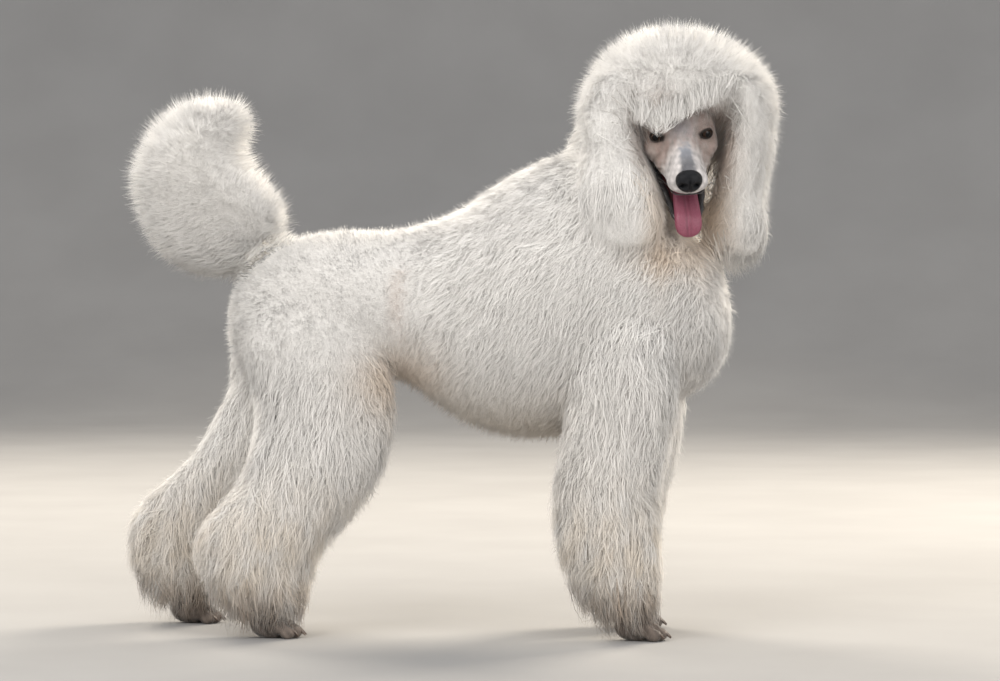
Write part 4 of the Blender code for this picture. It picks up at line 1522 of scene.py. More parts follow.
# The eggs behind the toes, each a middle and half sizes: the paw's body, the ankle and the sole.
PAW_EGGS = (
    ((-0.002, 0, 0.02), (0.027, 0.0225, 0.02)),
    ((-0.008, 0, 0.052), (0.019, 0.017, 0.046)),
    ((0.002, 0, 0.006), (0.016, 0.013, 0.0075)),
)


def paw_bodies(place: tuple[float, float]) -> list[Body]:
    """One paw: four arched toes of two eggs each, the eggs behind them and the ankle's.

    Args:
        place: Where the paw stands on the floor.

    Returns:
        The overlapping bodies.
    """
    at = np.array((*place, 0.0))
    bodies = [ellipsoid(at + middle, half_sizes) for middle, half_sizes in PAW_EGGS]
    for side, forward in TOES:
        bodies.append(ellipsoid(at + (forward - 0.006, side * 0.92, 0.0165), (0.015, 0.007, 0.0105)))
        bodies.append(ellipsoid(at + (forward + 0.008, side, 0.009), (0.0105, 0.0068, 0.0092)))
    return bodies


def union(name: str, bodies: list[Body]) -> Object:
    """Joins closed bodies that overlap into one closed surface.

    Args:
        name: The object's name.
        bodies: Points and faces of each.

    Returns:
        The joined object.
    """
    obj = new_object(name, new_mesh(name, *bodies[0]))
    helpers = bpy.data.collections.new("bodies")
    bpy.context.scene.collection.children.link(helpers)
    for number, body in enumerate(bodies[1:]):
        other = bpy.data.objects.new(f"body_{number}", new_mesh(f"body_{number}", *body))
        helpers.objects.link(other)
    join = obj.modifiers.new("join", "BOOLEAN")
    join.operation = "UNION"
    join.operand_type = "COLLECTION"
    join.collection = helpers
    join.solver = "MANIFOLD"
    finished(obj)
    for other in list(helpers.objects):
        bpy.data.objects.remove(other)
    bpy.data.collections.remove(helpers)
    return obj


def taken(obj: Object) -> Body:
    """Takes an object's surface and removes the object.

    Args:
        obj: The object.

    Returns:
        Its corners, and its faces as triangles.
    """
    surface = corners_of(obj.data), [triangles_of(obj.data)]
    bpy.data.objects.remove(obj)
    return surface


@dataclass
class Skin:
    """The one skin under the coat, with the bare face and paws.

    Voxel and paw voxel are the sizes of its faces. Drape depth and shorn depth are how deep it lies
    under the drapes and under clipped hair, and fall is how much deeper under the long coat.
    """

    coated: dict[str, CoatedForm]
    head: HeadShape = field(default_factory=HeadShape)
    voxel: float = 0.0065
    paw_voxel: float = 0.0016
    drape_depth: float = 0.014
    shorn_depth: float = 0.009
    fall: float = 0.006

    def build(self) -> Object:
        """Melts the sunk forms together and joins head, jaw and paws to them.

        Returns:
            The skin.
        """
        sunk = [each.form.body(60, 48, each.form.depth) for each in self.coated.values()]
        sunk += [drape.form.body(50, 40, self.drape_depth) for drape in DRAPES]
        shorn = [Form(Axis.FORWARD, self.rising(TORSO, -1, 0.09, 0.02))]
        shorn += [Form(Axis.UP, self.rising(thigh, 1, 0.42, 0.32)) for thigh in (HINDLEG_RIGHT, HINDLEG_LEFT)]
        sunk += [form.body(40, 48, self.shorn_depth) for form in shorn]
        bodies = [taken(remeshed("trunk", sunk, self.voxel, 6)), self.head.skull(), self.head.jaw()]
        for place in PAWS.values():
            points, faces = taken(remeshed("paw", paw_bodies(place), self.paw_voxel, 5))
            points[:, 2] = np.maximum(points[:, 2], 0.0001 - ORIGIN[2])
            bodies.append((points, faces))
        obj = union("skin", bodies)
        points = corners_of(obj.data)
        obj.data.vertices.foreach_set("co", (points + ORIGIN).astype(np.float32).ravel())
        paint(obj.data, PALETTE.skin_at(points))
        obj.data.shade_smooth()
        return HIDE.dress(obj)

    def rising(self, stations: Array, sign: int, full: float, gone: float) -> Array:
        """A form as high as shorn skin where the coat is shorn, sinking elsewhere under the long coat's.

        Args:
            stations: The form's stations.
            sign: 1 where the shorn part lies past the places given, -1 where it lies before their minus.
            full: From here on the form keeps its size.
            gone: From here on it has shrunk by the fall.

        Returns:
            The stations.
        """
        share = np.clip((sign * stations[:, 0] - gone) / (full - gone), 0.0, 1.0)
        sink = self.fall * smooth(1 - share) * (stations[:, 1] != stations[:, 2])
        return stations + sink[:, None] * (0, 1, -1, 1, -1)


@dataclass
class Nose:
    """The nose leather: a broad egg with two comma nostrils and a groove between them."""

    centre: tuple = (0.1045, -0.0006, -0.0256)
    half_sizes: tuple = (0.013, 0.0186, 0.0158)
    nostril: tuple = (0.0, 0.009, -0.0032)
    slit: tuple = ((0, 0.01, -0.004), (0, 0.0145, -0.0058), (0, 0.0172, -0.007))
    wing: tuple = ((0, 0.0045, 0.0015), (0, 0.009, 0.003), (0, 0.0145, 0.0))
    groove: tuple = ((0, 0, 0.004), (0, 0, -0.016))

    def build(self) -> Object:
        """Presses the nostrils, their slits and the groove into the egg, along the face.

        Returns:
            The piece.
        """
        points, faces = ellipsoid(np.zeros(3), np.ones(3), 110, 140)
        shape = np.sign(points) * np.abs(points) ** 0.9
        shape[:, 1] *= 1 + 0.1 * shape[:, 2] - 0.06 * shape[:, 2] ** 2
        own = shape * np.array(self.half_sizes)
        face = smooth(own[:, 0] / 0.006)
        flat = own * (0, 1, 1)
        pressed = np.zeros(len(own))
        for side in (-1, 1):
            pressed += 0.007 * mound(flat, mirrored(self.nostril, side), (1.0, 0.0034, 0.0034))
            pressed += 0.0024 * crease(flat, mirrored(self.slit, side), 0.0011)
            pressed -= 0.0012 * crease(flat, mirrored(self.wing, side), 0.0022)
        pressed += 0.0016 * crease(flat, self.groove, 0.0009)
        own[:, 0] -= pressed * face
        mesh = new_mesh("nose_leather", carried(own + np.array(self.centre), HEAD_AXES) + ORIGIN, faces)
        return LEATHER.dress(new_object("nose_leather", mesh))


@dataclass
class Mouth:
    """Tongue and lips.

    The tongue's stops are its place ahead, its height and its half width, in the jaw's axes. The
    lips' stops are places from the left corner to the middle, in the head's and the jaw's axes.
    """

    tongue_line: tuple = (
        (0.045, 0.008, 0.012),
        (0.07, 0.0095, 0.015),
        (0.095, 0.0105, 0.0172),
        (0.116, 0.01, 0.0182),
        (0.132, 0.008, 0.0188),
        (0.143, 0.003, 0.0188),
        (0.15, -0.004, 0.0175),
        (0.1525, -0.0085, 0.015),
    )
    thickness: float = 0.0046
    upper_lip: tuple = (
        (0.004, 0.041, -0.0505),
        (0.03, 0.034, -0.051),
        (0.055, 0.0262, -0.0507),
        (0.08, 0.0225, -0.0497),
        (0.0955, 0.018, -0.048),
        (0.1025, 0.01, -0.0462),
        (0.1042, 0.0, -0.0455),
    )
    lower_lip: tuple = (
        (0.038, 0.0345, 0.004),
        (0.054, 0.0325, 0.005),
        (0.08, 0.0265, 0.0045),
        (0.105, 0.0215, 0.0036),
        (0.124, 0.017, 0.003),
        (0.134, 0.009, 0.002),
        (0.1365, 0.0, 0.0014),
    )

    def tongue(self) -> Object:
        """The tongue: a thin strip over the chin with a groove along it and a rounded end.

        Returns:
            The piece.
        """
        count = 90
        rows = drawn_through(self.tongue_line, count)
        line = np.column_stack((rows[:, 0], np.zeros(count), rows[:, 1]))
        along = np.linspace(0, 1, count)
        ending = np.sqrt(np.clip(1 - np.clip((along - 0.64) / 0.36, 0, 1) ** 2.2, 0.0004, 1))
        widths = rows[:, 2] * ending
        heights = self.thickness * (0.35 + 0.65 * ending)
        grid, ends = swept_grid(line, widths, heights, np.array((0.0, 1.0, 0.0)), 64)
        up = np.cross(unit(np.gradient(line, axis=0)), (0.0, 1.0, 0.0))
        up *= np.sign(up[:1, 2:])
        share = grid[..., 1] / np.maximum(widths, 0.001)[:, None]
        top = ((grid - line[:, None]) * up[:, None]).sum(axis=-1) > 0
        groove = np.exp(-((share / 0.12) ** 2)) * smooth((0.93 - along) / 0.2)[:, None] * top
        lift = 0.001 * share**2 * (1 - share**2) * 4 - 0.002 * groove
        lift += 0.0004 * waves(grid.reshape(-1, 3), 0.012, 12)[:, 0].reshape(share.shape) * top
        grid = grid + up[:, None] * lift[..., None]
        points, faces = closed_tube(grid, ends)
        # Painted light on the tongue's top: shine is a painted highlight along its middle, shade is painted
        # shade in bands beside it, and the tone darkens towards the root as painted shade inside the mouth.
        shine = 0.3 * np.exp(-(((share - 0.05) / 0.05) ** 2)) * top
        shade = 0.3 * np.exp(-(((np.abs(share) - 0.14) / 0.06) ** 2)) * top
        tone = 0.55 + 0.45 * smooth(along / 0.55)[:, None] + shine - shade + 0.15 * share**2
        tone = np.concatenate((np.clip(tone, 0.2, 1.2).ravel(), (0.55, 1.0)))
        mesh = new_mesh("tongue_flesh", carried(points, JAW_AXES) + ORIGIN, faces)
        paint(mesh, np.repeat(tone[:, None], 3, axis=1))
        return TONGUE.dress(new_object("tongue_flesh", mesh))

    def lip(self, name: str, half_line: tuple, halves: tuple, axes: Matrix) -> Object:
        """A lip's dark roll from one corner of the mouth to the other.

        Args:
            name: The piece's name.
            half_line: Stops along its left half, in the given axes.
            halves: Its half width and half height.
            axes: The axes of its stops.

        Returns:
            The lip.
        """
        count = 160
        rows = drawn_through(np.vstack((half_line, mirrored(half_line[-2::-1], -1))), count)
        share = np.linspace(-1, 1, count)
        swell = (0.45 + 0.55 * np.sqrt(1 - share**2)) * (1 + 0.12 * np.sin(40 * share))
        level = np.array((0.0, 0.0, 1.0))
        grid, ends = swept_grid(rows, halves[1] * swell, halves[0] * swell, level, 18)
        points, faces = closed_tube(grid, ends)
        return LIP.dress(new_object(name, new_mesh(name, carried(points, axes) + ORIGIN, faces)))

    def build(self) -> list[Object]:
        """Tongue, upper lip and lower lip."""
        return [
            self.tongue(),
            self.lip("lip_upper", self.upper_lip, (0.0011, 0.0009), HEAD_AXES),
            self.lip("lip_lower", self.lower_lip, (0.0046, 0.0024), JAW_AXES),
        ]


def claws(name: str, place: tuple[float, float]) -> Object:
    """The four claws of one paw: cones that curve down to a blunt end.

    Args:
        name: The piece's name.
        place: Where the paw stands on the floor.

    Returns:
        The claws as one piece.
    """
    bodies = []
    s = np.linspace(0, 1, 12)
    radii = 0.0028 * (1 - 0.72 * s**1.6)
    for side, forward in TOES:
        ahead = forward + 0.012 + 0.012 * s
        line = np.column_stack((ahead, np.full(len(s), side), 0.0125 - 0.0078 * s**1.7))
        grid, ends = swept_grid(line + (*place, 0.0), radii * 0.85, radii, np.array((0.0, 1.0, 0.0)), 12)
        bodies.append(closed_tube(grid, ends))
    points, faces = joined_bodies(bodies)
    points[:, 2] = np.maximum(points[:, 2], 0.0002 - ORIGIN[2])
    return HORN.dress(new_object(name, new_mesh(name, points + ORIGIN, faces)))


# The side of a tuft's own patch of the map, where the whole map is 1.
MAP_PATCH = 0.003


@dataclass
class Tufts:
    """Many tapered tufts at once, in whole arrays, one row each.

    A tuft runs back from its tip along its way to a root under the skin. It bows towards the surface's
    normal, swings from side to side, and has three sides that taper to a point. Places are its roots'
    on the map, knots are how many places its line has, and softness is how far its shading follows
    the coat's normal and not its own sides.
    """

    tips: Array
    normals: Array
    ways: Array
    lengths: Array
    widths: Array
    arches: Array
    swings: Array
    phases: Array
    tones: Array
    places: Array
    knots: int = 3
    softness: float = 0.75

    def spines(self) -> tuple[Array, Array, Array, Array]:
        """The middle line of each tuft at its knots.

        Returns:
            Places, their shares of the way from root to tip, and the directions across and up.
        """
        s = np.linspace(0, 1, self.knots) ** (0.85 if self.knots > 2 else 1.0)
        side = unit(np.cross(self.ways, self.normals))
        up = np.cross(side, self.ways)
        line = self.tips[:, None] - (self.ways * self.lengths[:, None])[:, None] * (1 - s)[:, None]
        bow = (self.lengths * self.arches)[:, None] * 4 * s * (1 - s)
        swing = self.swings[:, None] * np.sin(2 * math.pi * (1.2 * s + self.phases[:, None])) * s**0.7
        line = line + up[:, None] * bow[..., None] + side[:, None] * swing[..., None]
        return line, s, side, up

    def build(self, name: str) -> Object:
        """Makes the tufts one mesh, with colours, soft normals and each tuft's own patch of the map.

        Args:
            name: The piece's name.

        Returns:
            The piece.
        """
        line, s, side, up = self.spines()
        count, body = len(self.tips), self.knots - 1
        turn = math.pi / 2 + turns(3) + self.phases[:, None] * 2.0
        around = np.cos(turn)[..., None] * side[:, None] + np.sin(turn)[..., None] * up[:, None]
        taper = (0.8 + 0.35 * s - 1.15 * s**2.4)[:body]
        radius = self.widths[:, None] * taper
        rings = line[:, :body, None] + around[:, None] * radius[:, :, None, None]
        points = np.concatenate((rings.reshape(count, body * 3, 3), line[:, -1:]), axis=1)
        points[..., 2] = np.maximum(points[..., 2], 0.0004)
        per, top = body * 3 + 1, body * 3 - 3
        quads = grid_quads(body, 3, columns_meet=True)[:, [1, 0, 3, 2]]
        point = [((k + 1) % 3 + top, k + top, per - 1) for k in range(3)]
        caps = np.array((*point, (0, 1, 2)))
        starts = np.arange(count)[:, None, None] * per
        faces = [(quads + starts).reshape(-1, 4), (caps + starts).reshape(-1, 3)]
        faces = [group for group in faces if len(group)]
        mesh = new_mesh(name, points.reshape(-1, 3), faces)
        along = np.concatenate((np.repeat(s[:body], 3), [1.0]))
        self.map_patches(mesh, along)
        shade = 0.8 + 0.2 * along**0.8
        paint(mesh, (self.tones[:, None] * shade[None, :, None]).reshape(-1, 3))
        sides = np.broadcast_to(around[:, None], (count, body, 3, 3)).reshape(count, body * 3, 3)
        soft = np.concatenate((sides, self.ways[:, None]), axis=1)
        soft = unit(soft * (1 - self.softness) + self.normals[:, None] * self.softness)
        mesh.normals_split_custom_set_from_vertices(soft.reshape(-1, 3).tolist())
        return FUR.dress(new_object(name, mesh))

    def map_patches(self, mesh: Mesh, along: Array) -> None:
        """Lays each tuft on a small patch at its root's place on the skin's unwrap.

        Args:
            mesh: The tufts' mesh.
            along: Each of a tuft's corners' share of the way from root to tip.
        """
        across = np.concatenate((np.tile((-0.5, 0.0, 0.5), self.knots - 1), [0.0]))
        patch = np.stack((across, along - 0.5), axis=-1) * MAP_PATCH
        spots = (self.places[:, None] + patch[None]).reshape(-1, 2)
        corners = read_rows(mesh.loops, "vertex_index", 1, np.int32)[:, 0]
        layer = mesh.uv_layers.new(name="OFBake")
        layer.uv.foreach_set("vector", spots[corners].astype(np.float32).ravel())


def atlas_place(tile: int, angle: Array, along: Array) -> Array:
    """A place on the skin's unwrap: the form's own square of a four by four sheet.

    Args:
        tile: The form's number.
        angle: Place round the form, in radians from minus pi to pi.
        along: Place along it, from 0 to 1.

    Returns:
        Rows of two map coordinates.
    """
    margin = 0.02
    across = angle / (2 * math.pi) + 0.5
    u = (tile % 4 + margin + (1 - 2 * margin) * across) / 4
    v = (tile // 4 + margin + (1 - 2 * margin) * along) / 4
    return np.column_stack((u, v))


def scattered(
    points: Array, normals: Array, triangles: Array, dense: Array, seed: int
) -> tuple[Array, Array]:
    """Places spread over a surface, so many on each square metre.

    Args:
        points: The surface's corners.
        normals: The normals at them.
        triangles: Its triangles.
        dense: How many places a square metre gets at each triangle.
        seed: Seeds the draw.

    Returns:
        The places and their normals.
    """
    draw = np.random.default_rng(seed)
    corners = points[triangles]
    area = np.linalg.norm(np.cross(corners[:, 1] - corners[:, 0], corners[:, 2] - corners[:, 0]), axis=1) / 2
    total = np.cumsum(area * dense)
    count = int(total[-1])
    picks = np.searchsorted(total, (np.arange(count) + draw.uniform(0, 1, count)) * total[-1] / count)
    picks = np.minimum(picks, len(triangles) - 1)
    r, q = np.sqrt(draw.uniform(0, 1, count)), draw.uniform(0, 1, count)
    shares = np.column_stack((1 - r, r * (1 - q), r * q))
    found = (corners[picks] * shares[..., None]).sum(axis=1)
    return found, unit((normals[triangles[picks]] * shares[..., None]).sum(axis=1))


@dataclass(frozen=True)
class Layer:
    """One layer of the coat, by how its tufts differ from the coat's own sizes.

    Prefix begins its pieces' names. Length and width are shares of the coat's, lift is how far tips
    lie off the outer form, flyaways is the share of thin tufts that stand out past the others, curl
    is how far strands swing, thinned is the share of the coat's wool or locks that grow, and shorn
    gain is what clipping adds to their number.
    """

    prefix: str
    length: float
    width: float
    lift: tuple[float, float]
    flyaways: float
    knots: int
    thinned: float = 1.0
    shorn_gain: float = 0.0
    curl: float = 0.0


WOOL = Layer("wool", 0.72, 0.62, (-0.005, 0.0005), 0.2, 2, thinned=0.82, shorn_gain=0.25)
LOCKS = Layer("coat", 1.0, 0.56, (-0.003, 0.001), 0.0, 3, shorn_gain=-1.0)
HALO = Layer("halo", 0.62, 0.2, (0.001, 0.01), 0.0, 5, thinned=0.21, curl=0.004)


# How the coat's lie wanders: the length of each wave, its seed and its share.
WANDER = ((0.09, 3, 0.22), (0.03, 4, 0.26), (0.012, 16, 0.14))


@dataclass
class Tips:
    """Where tufts of the whole dog end, how the coat lies there, how loose it hangs, and whose it is."""

    places: Array
    normals: Array
    flow: Array
    stand: Array
    loose: Array
    home: Array

    def some(self, chosen: Array) -> "Tips":
        """Keeps the chosen rows."""
        kept = (self.places, self.normals, self.flow, self.stand, self.loose, self.home)
        return Tips(*(values[chosen] for values in kept))


@dataclass
class LongCoat:
    """The coat of body, legs, tail, topknot and ears.

    Voxel and passes melt the forms into the outer form, and blending is how far one form's lie
    carries into the next. Shorn is the length that clipping leaves. Flyaway reach and hem drop are
    how far flyaways and hems pass the outer form, and root depth is how deep a root must lie, which
    up to so many tucks bring about.
    """

    coated: dict[str, CoatedForm]
    voxel: float = 0.006
    passes: int = 14
    blending: float = 0.01
    shorn: float = 0.36
    flyaway_reach: tuple[float, float, float] = (0.0, 0.002, 0.009)
    hem_drop: float = 0.025
    root_depth: float = 0.005
    tucks: int = 4
    seed: int = 41

    def outer_form(self) -> tuple[Array, Array, Array]:
        """The smooth surface that the tips reach: every form melted together.

        Returns:
            Corners, normals and triangles.
        """
        bodies = [each.form.body(70, 56) for each in self.coated.values()]
        bodies += [drape.form.body(50, 40) for drape in DRAPES]
        melted = remeshed("outer_form", bodies, self.voxel, self.passes)
        points, triangles = corners_of(melted.data), triangles_of(melted.data)
        normals = normals_of(melted.data)
        bpy.data.objects.remove(melted)
        return points, normals, triangles

    def tips(self, outer: tuple[Array, Array, Array], layer: Layer) -> Tips:
        """Scatters one layer's tips over the outer form and blends the coats' lie between forms.

        Args:
            outer: The outer form's corners, normals and triangles.
            layer: The layer.

        Returns:
            The tips.
        """
        corners, corner_normals, triangles = outer
        coats = [each.coat for each in self.coated.values()]
        middles = corners[triangles].mean(axis=1)
        home = np.argmin(np.abs(self.distances(middles)), axis=0)
        grown = [(coat.wool if layer is WOOL else coat.locks) * layer.thinned for coat in coats]
        dense = np.array(grown)[home] * (1 + self.shearing(middles) * layer.shorn_gain)
        dense = dense * ~self.covered(middles)
        places, normals = scattered(corners, corner_normals, triangles, dense, self.seed + layer.knots)
        off = np.abs(self.distances(places))
        share = np.exp(-(off - off.min(axis=0)) / self.blending)
        share /= share.sum(axis=0)
        flow, stand = np.zeros_like(places), np.zeros(len(places))
        for coat, weight in zip(coats, share):
            flow += coat.direction(places, normals) * weight[:, None]
            stand += coat.stand * weight
        loose = np.zeros(len(places))
        for drape in DRAPES:
            near = smooth((0.016 - np.abs(drape.form.distance(places))) / 0.012)
            near *= smooth((0.85 - places[:, 2]) / 0.12)
            flow = mixed(flow, drape.flow, 0.85 * near)
            stand += (0.48 - stand) * near
            loose = np.maximum(loose, near)
        home = np.argmin(off, axis=0)
        tail_root = smooth((0.565 - places[:, 2]) / 0.045) * (home == list(self.coated).index("tail"))
        return Tips(places, normals, flow, stand * (1 - 0.55 * tail_root), loose, home)

    def distances(self, points: Array) -> Array:
        """How far points lie outside each form, one row a form."""
        return np.stack([each.form.distance(points) for each in self.coated.values()])

    def depth(self, points: Array) -> Array:
        """How deep points lie in the forms and the drapes."""
        outside = [drape.form.distance(points) for drape in DRAPES]
        return -np.minimum(self.distances(points).min(axis=0), np.min(outside, axis=0))

    def shearing(self, points: Array) -> Array:
        """Where the coat is clipped short.

        Args:
            points: Places in the design's axes.

        Returns:
            1 over the loin and thighs and 0 elsewhere, with soft bounds.
        """
        behind = smooth((-0.01 - points[:, 0]) / 0.12)
        above = smooth((points[:, 2] - 0.29) / 0.2)
        clipped = [self.coated[name].form for name in ("torso", "hindleg_right", "hindleg_left")]
        body = np.min([form.distance(points) for form in clipped], axis=0)
        past_tail = (self.coated["tail"].form.distance(points) - body) / 0.012
        return behind * above * smooth(0.5 + past_tail)

    def build(self) -> list[Object]:
        """Grows each form's wool, locks and halo.

        Returns:
            The coat's pieces.
        """
        outer = self.outer_form()
        pieces = []
        for layer in (WOOL, LOCKS, HALO):
            tips = self.tips(outer, layer)
            left, loin = tips.places[:, 1] > 0, tips.places[:, 0] < -0.045
            for number, name in enumerate(self.coated):
                here = tips.home == number
                parts = {name: here}
                if name == "torso":
                    side = here & ~loin
                    parts = {"loin": here & loin, "side_left": side & left, "side_right": side & ~left}
                for part, chosen in parts.items():
                    pieces.append(self.grow(f"{layer.prefix}_{part}", layer, number, tips.some(chosen)))
        return pieces

    def grow(self, piece: str, layer: Layer, number: int, tips: Tips) -> Object:
        """Grows one piece's tufts.

        Args:
            piece: Its name.
            layer: Which layer it is of.
            number: Which form it grows on.
            tips: Where its tufts end.

        Returns:
            The piece.
        """
        coated = list(self.coated.values())[number]
        coat, places, normals, count = coated.coat, tips.places, tips.normals, len(tips.places)
        draw = np.random.default_rng(self.seed + 7 * number + len(piece))
        cut = self.shearing(places)
        fly = draw.uniform(0, 1, count) < layer.flyaways
        clump, luck = clump_of(places, np.array(coat.cell), self.seed + number)
        wander = sum(waves(places, size, seed) * share for size, seed, share in WANDER)
        free = tips.loose[:, None]
        halo = layer is HALO
        spread = coat.jitter * (1 + 1.2 * fly[:, None] + 0.7 * free)
        flow = tips.flow + wander * (1 + 0.6 * free) + draw.normal(0, spread, (count, 3))
        inward = np.minimum((flow * normals).sum(axis=1), 0)
        flat = flow - inward[:, None] * normals
        lying = np.linalg.norm(flat, axis=1)
        raised = 0.22 * (fly + halo * 1.6)
        stand = tips.stand + draw.normal(0, 0.07, count) + 0.1 * (luck - 0.5) + raised + 0.3 * cut
        stand = np.clip(stand + 0.5 * smooth((0.45 - lying) / 0.35), 0.08, 0.95)
        ways = unit(unit(flat) * (1 - stand)[:, None] + normals * stand[:, None])
        trim = 1 - (1 - self.shorn) * cut
        length = coat.length * layer.length * trim * (1 + draw.normal(0, coat.ragged, count))
        length = np.maximum(length * (0.88 + 0.24 * luck), 0.005)
        pull = (clump - places) - ((clump - places) * normals).sum(axis=1)[:, None] * normals
        gathered = coat.pull * draw.uniform(0.4, 1.0, count) * trim * (not halo) * (1 - 0.4 * tips.loose)
        places = places + pull * gathered[:, None]
        far = draw.triangular(*self.flyaway_reach, count) * coat.fuzz
        lift = np.where(fly, far, draw.uniform(*layer.lift, count) * (coat.fuzz if halo else 1.0))
        places = places + normals * ((lift + (luck - 0.5) * 0.002) * (0.3 + 0.7 * trim))[:, None]
        low = smooth((0.07 - places[:, 2]) / 0.02) + ("ear" in piece)
        hem = smooth((-0.3 - normals[:, 2]) / 0.45) * low
        drop = hem * draw.triangular(0.0, 0.009, self.hem_drop, count) * (0.7 + 0.6 * luck) * coat.hem
        places[:, 2] -= drop
        length = length + drop * (coat.hem > 1)
        for _ in range(self.tucks):
            shallow = self.depth(places - ways * length[:, None]) < self.root_depth
            length = np.where(shallow, length * 0.82, length)
            ways = np.where(shallow[:, None], unit(ways + 0.14 * normals), ways)
        t, angle = coated.form.place(places - ways * length[:, None])
        tone = PALETTE.coat_at(places) * (0.96 + 0.07 * luck + draw.normal(0, 0.02, count))[:, None]
        # Painted shade on the clipped coat: darker where it is shorn, as the long coat is by its own shadow,
        # and mottled as by the shade of short curls.
        painted_curl_shade = waves(places, 0.011, 6)[:, 0]
        tone *= (1 - cut * (0.1 + 0.16 * luck + 0.08 * painted_curl_shade))[:, None]
        tufts = Tufts(
            tips=places + ORIGIN,
            normals=normals,
            ways=ways,
            lengths=length,
            widths=coat.width * layer.width * draw.uniform(0.75, 1.25, count) * np.where(fly, 0.95, 1.0),
            arches=coat.arch * draw.uniform(0.7, 1.3, count),
            swings=(coat.wave + layer.curl) * draw.uniform(0.5, 1.5, count) * (1 + 0.8 * tips.loose),
            phases=luck + draw.normal(0, 0.5 if halo else 0.06, count),
            tones=np.clip(tone, 0.0, 0.97),
            places=atlas_place(number, angle, t),
            knots=layer.knots,
            softness=0.88,
        )
        return tufts.build(piece)

    def covered(self, tips: Array) -> Array:
        """Which tips lie inside the bare face, or in the cup of an ear, and so don't show.

        Args:
            tips: Places in the design's axes.

        Returns:
            True for each that does.
        """
        face = HEAD_FORM.distance(tips) < -0.004
        for cup in EAR_CUPS:
            arm = (tips - np.array(cup)) / np.array((0.012, 0.016, 0.022))
            face |= (arm**2).sum(axis=1) < 1
        return face


# The squares of the unwrap past the coated forms' own.
FACE_TILE = 12
PAW_TILE = 13


@dataclass
class FaceFur:
    """The short fur of the clipped face and jaw, and of the paws.

    Dense is how many tufts grow on a square metre, and length and width are a tuft's length and
    half width.
    """

    skin: Object
    dense: float = 620000.0
    length: float = 0.0062
    width: float = 0.00026
    seed: int = 77

    def build(self) -> Object:
        """Grows short tufts back from the nose over the face, and down over the paws.

        Returns:
            The piece.
        """
        points = corners_of(self.skin.data) - ORIGIN
        normals = normals_of(self.skin.data)
        triangles = triangles_of(self.skin.data)
        middles = points[triangles].mean(axis=1)
        own = carried(middles, HEAD_AXES.inverted())
        reach, jaw = HEAD_FORM.distance(middles), JAW_FORM.distance(middles)
        on_head = (reach < 0.006) & (reach > -0.009) & (own[:, 0] > -0.03) & (own[:, 2] > -0.048)
        jaw_own = carried(middles, JAW_AXES.inverted())
        on_jaw = (jaw < 0.003) & (reach > 0.002) & (jaw_own[:, 2] < -0.002) & (jaw_own[:, 0] > 0.02)
        on_paw = middles[:, 2] < 0.045
        for socket in SOCKETS:
            off, rim = socket.seen_from(own)
            away = np.linalg.norm(own - socket.centre, axis=1)
            on_head &= (away > EYE_RADIUS + 0.0052) | (off > 1.45 * rim)
        bridge = (np.abs(own[:, 1]) < 0.012) & (own[:, 0] > 0.045) & (own[:, 2] > -0.03)
        on_head &= own[:, 0] < 0.094
        dense = self.dense * (on_head * (1.0 - 0.85 * bridge) + on_jaw * 0.8 + on_paw * 0.8)
        tips, lean = scattered(points, normals, triangles, dense, self.seed)
        draw = np.random.default_rng(self.seed)
        count = len(tips)
        back = np.array(HEAD_AXES.to_3x3()) @ (-0.9, 0.0, -0.35)
        low = tips[:, 2] < 0.06
        flow = np.where(low[:, None], (0.35, 0.0, -1.0), back) + draw.normal(0, 0.22, (count, 3))
        flow += waves(tips, 0.03, 9) * 0.25
        flat = unit(flow - (flow * lean).sum(axis=1)[:, None] * lean)
        stand = np.clip(draw.normal(0.2, 0.05, count), 0.08, 0.4)
        ways = unit(flat * (1 - stand)[:, None] + lean * stand[:, None])
        own = carried(tips, HEAD_AXES.inverted())
        longer = 0.55 + 0.55 * smooth((0.06 - own[:, 0]) / 0.08)
        length = self.length * longer * (1 + draw.normal(0, 0.12, count)) * np.where(low, 2.1, 1.0)
        tips = tips + ways * (length * 0.55)[:, None]
        tone = PALETTE.skin_at(tips) * 0.62 + PALETTE.coat_at(tips) * np.where(low, 0.22, 0.27)[:, None]
        tone *= (0.94 + draw.normal(0, 0.05, count))[:, None]
        t, angle = HEAD_FORM.place(tips)
        places = atlas_place(FACE_TILE, angle, t)
        for number, place in enumerate(PAWS.values()):
            x, y = (tips[:, :2] - place).T
            near = low & (np.hypot(x, y) < 0.07)
            up = np.clip(tips[near, 2] / 0.06, 0, 1)
            places[near] = atlas_place(PAW_TILE, np.arctan2(y[near], x[near]), up / 4 + number / 4)
        tufts = Tufts(
            tips=tips + ORIGIN,
            normals=lean,
            ways=ways,
            lengths=length,
            widths=self.width * draw.uniform(0.8, 1.2, count),
            arches=np.full(count, 0.05),
            swings=np.zeros(count),
            phases=draw.uniform(0, 1, count),
            tones=np.clip(tone, 0, 0.95),
            places=places,
            knots=2,
            softness=0.85,
        )
        return tufts.build("coat_face")


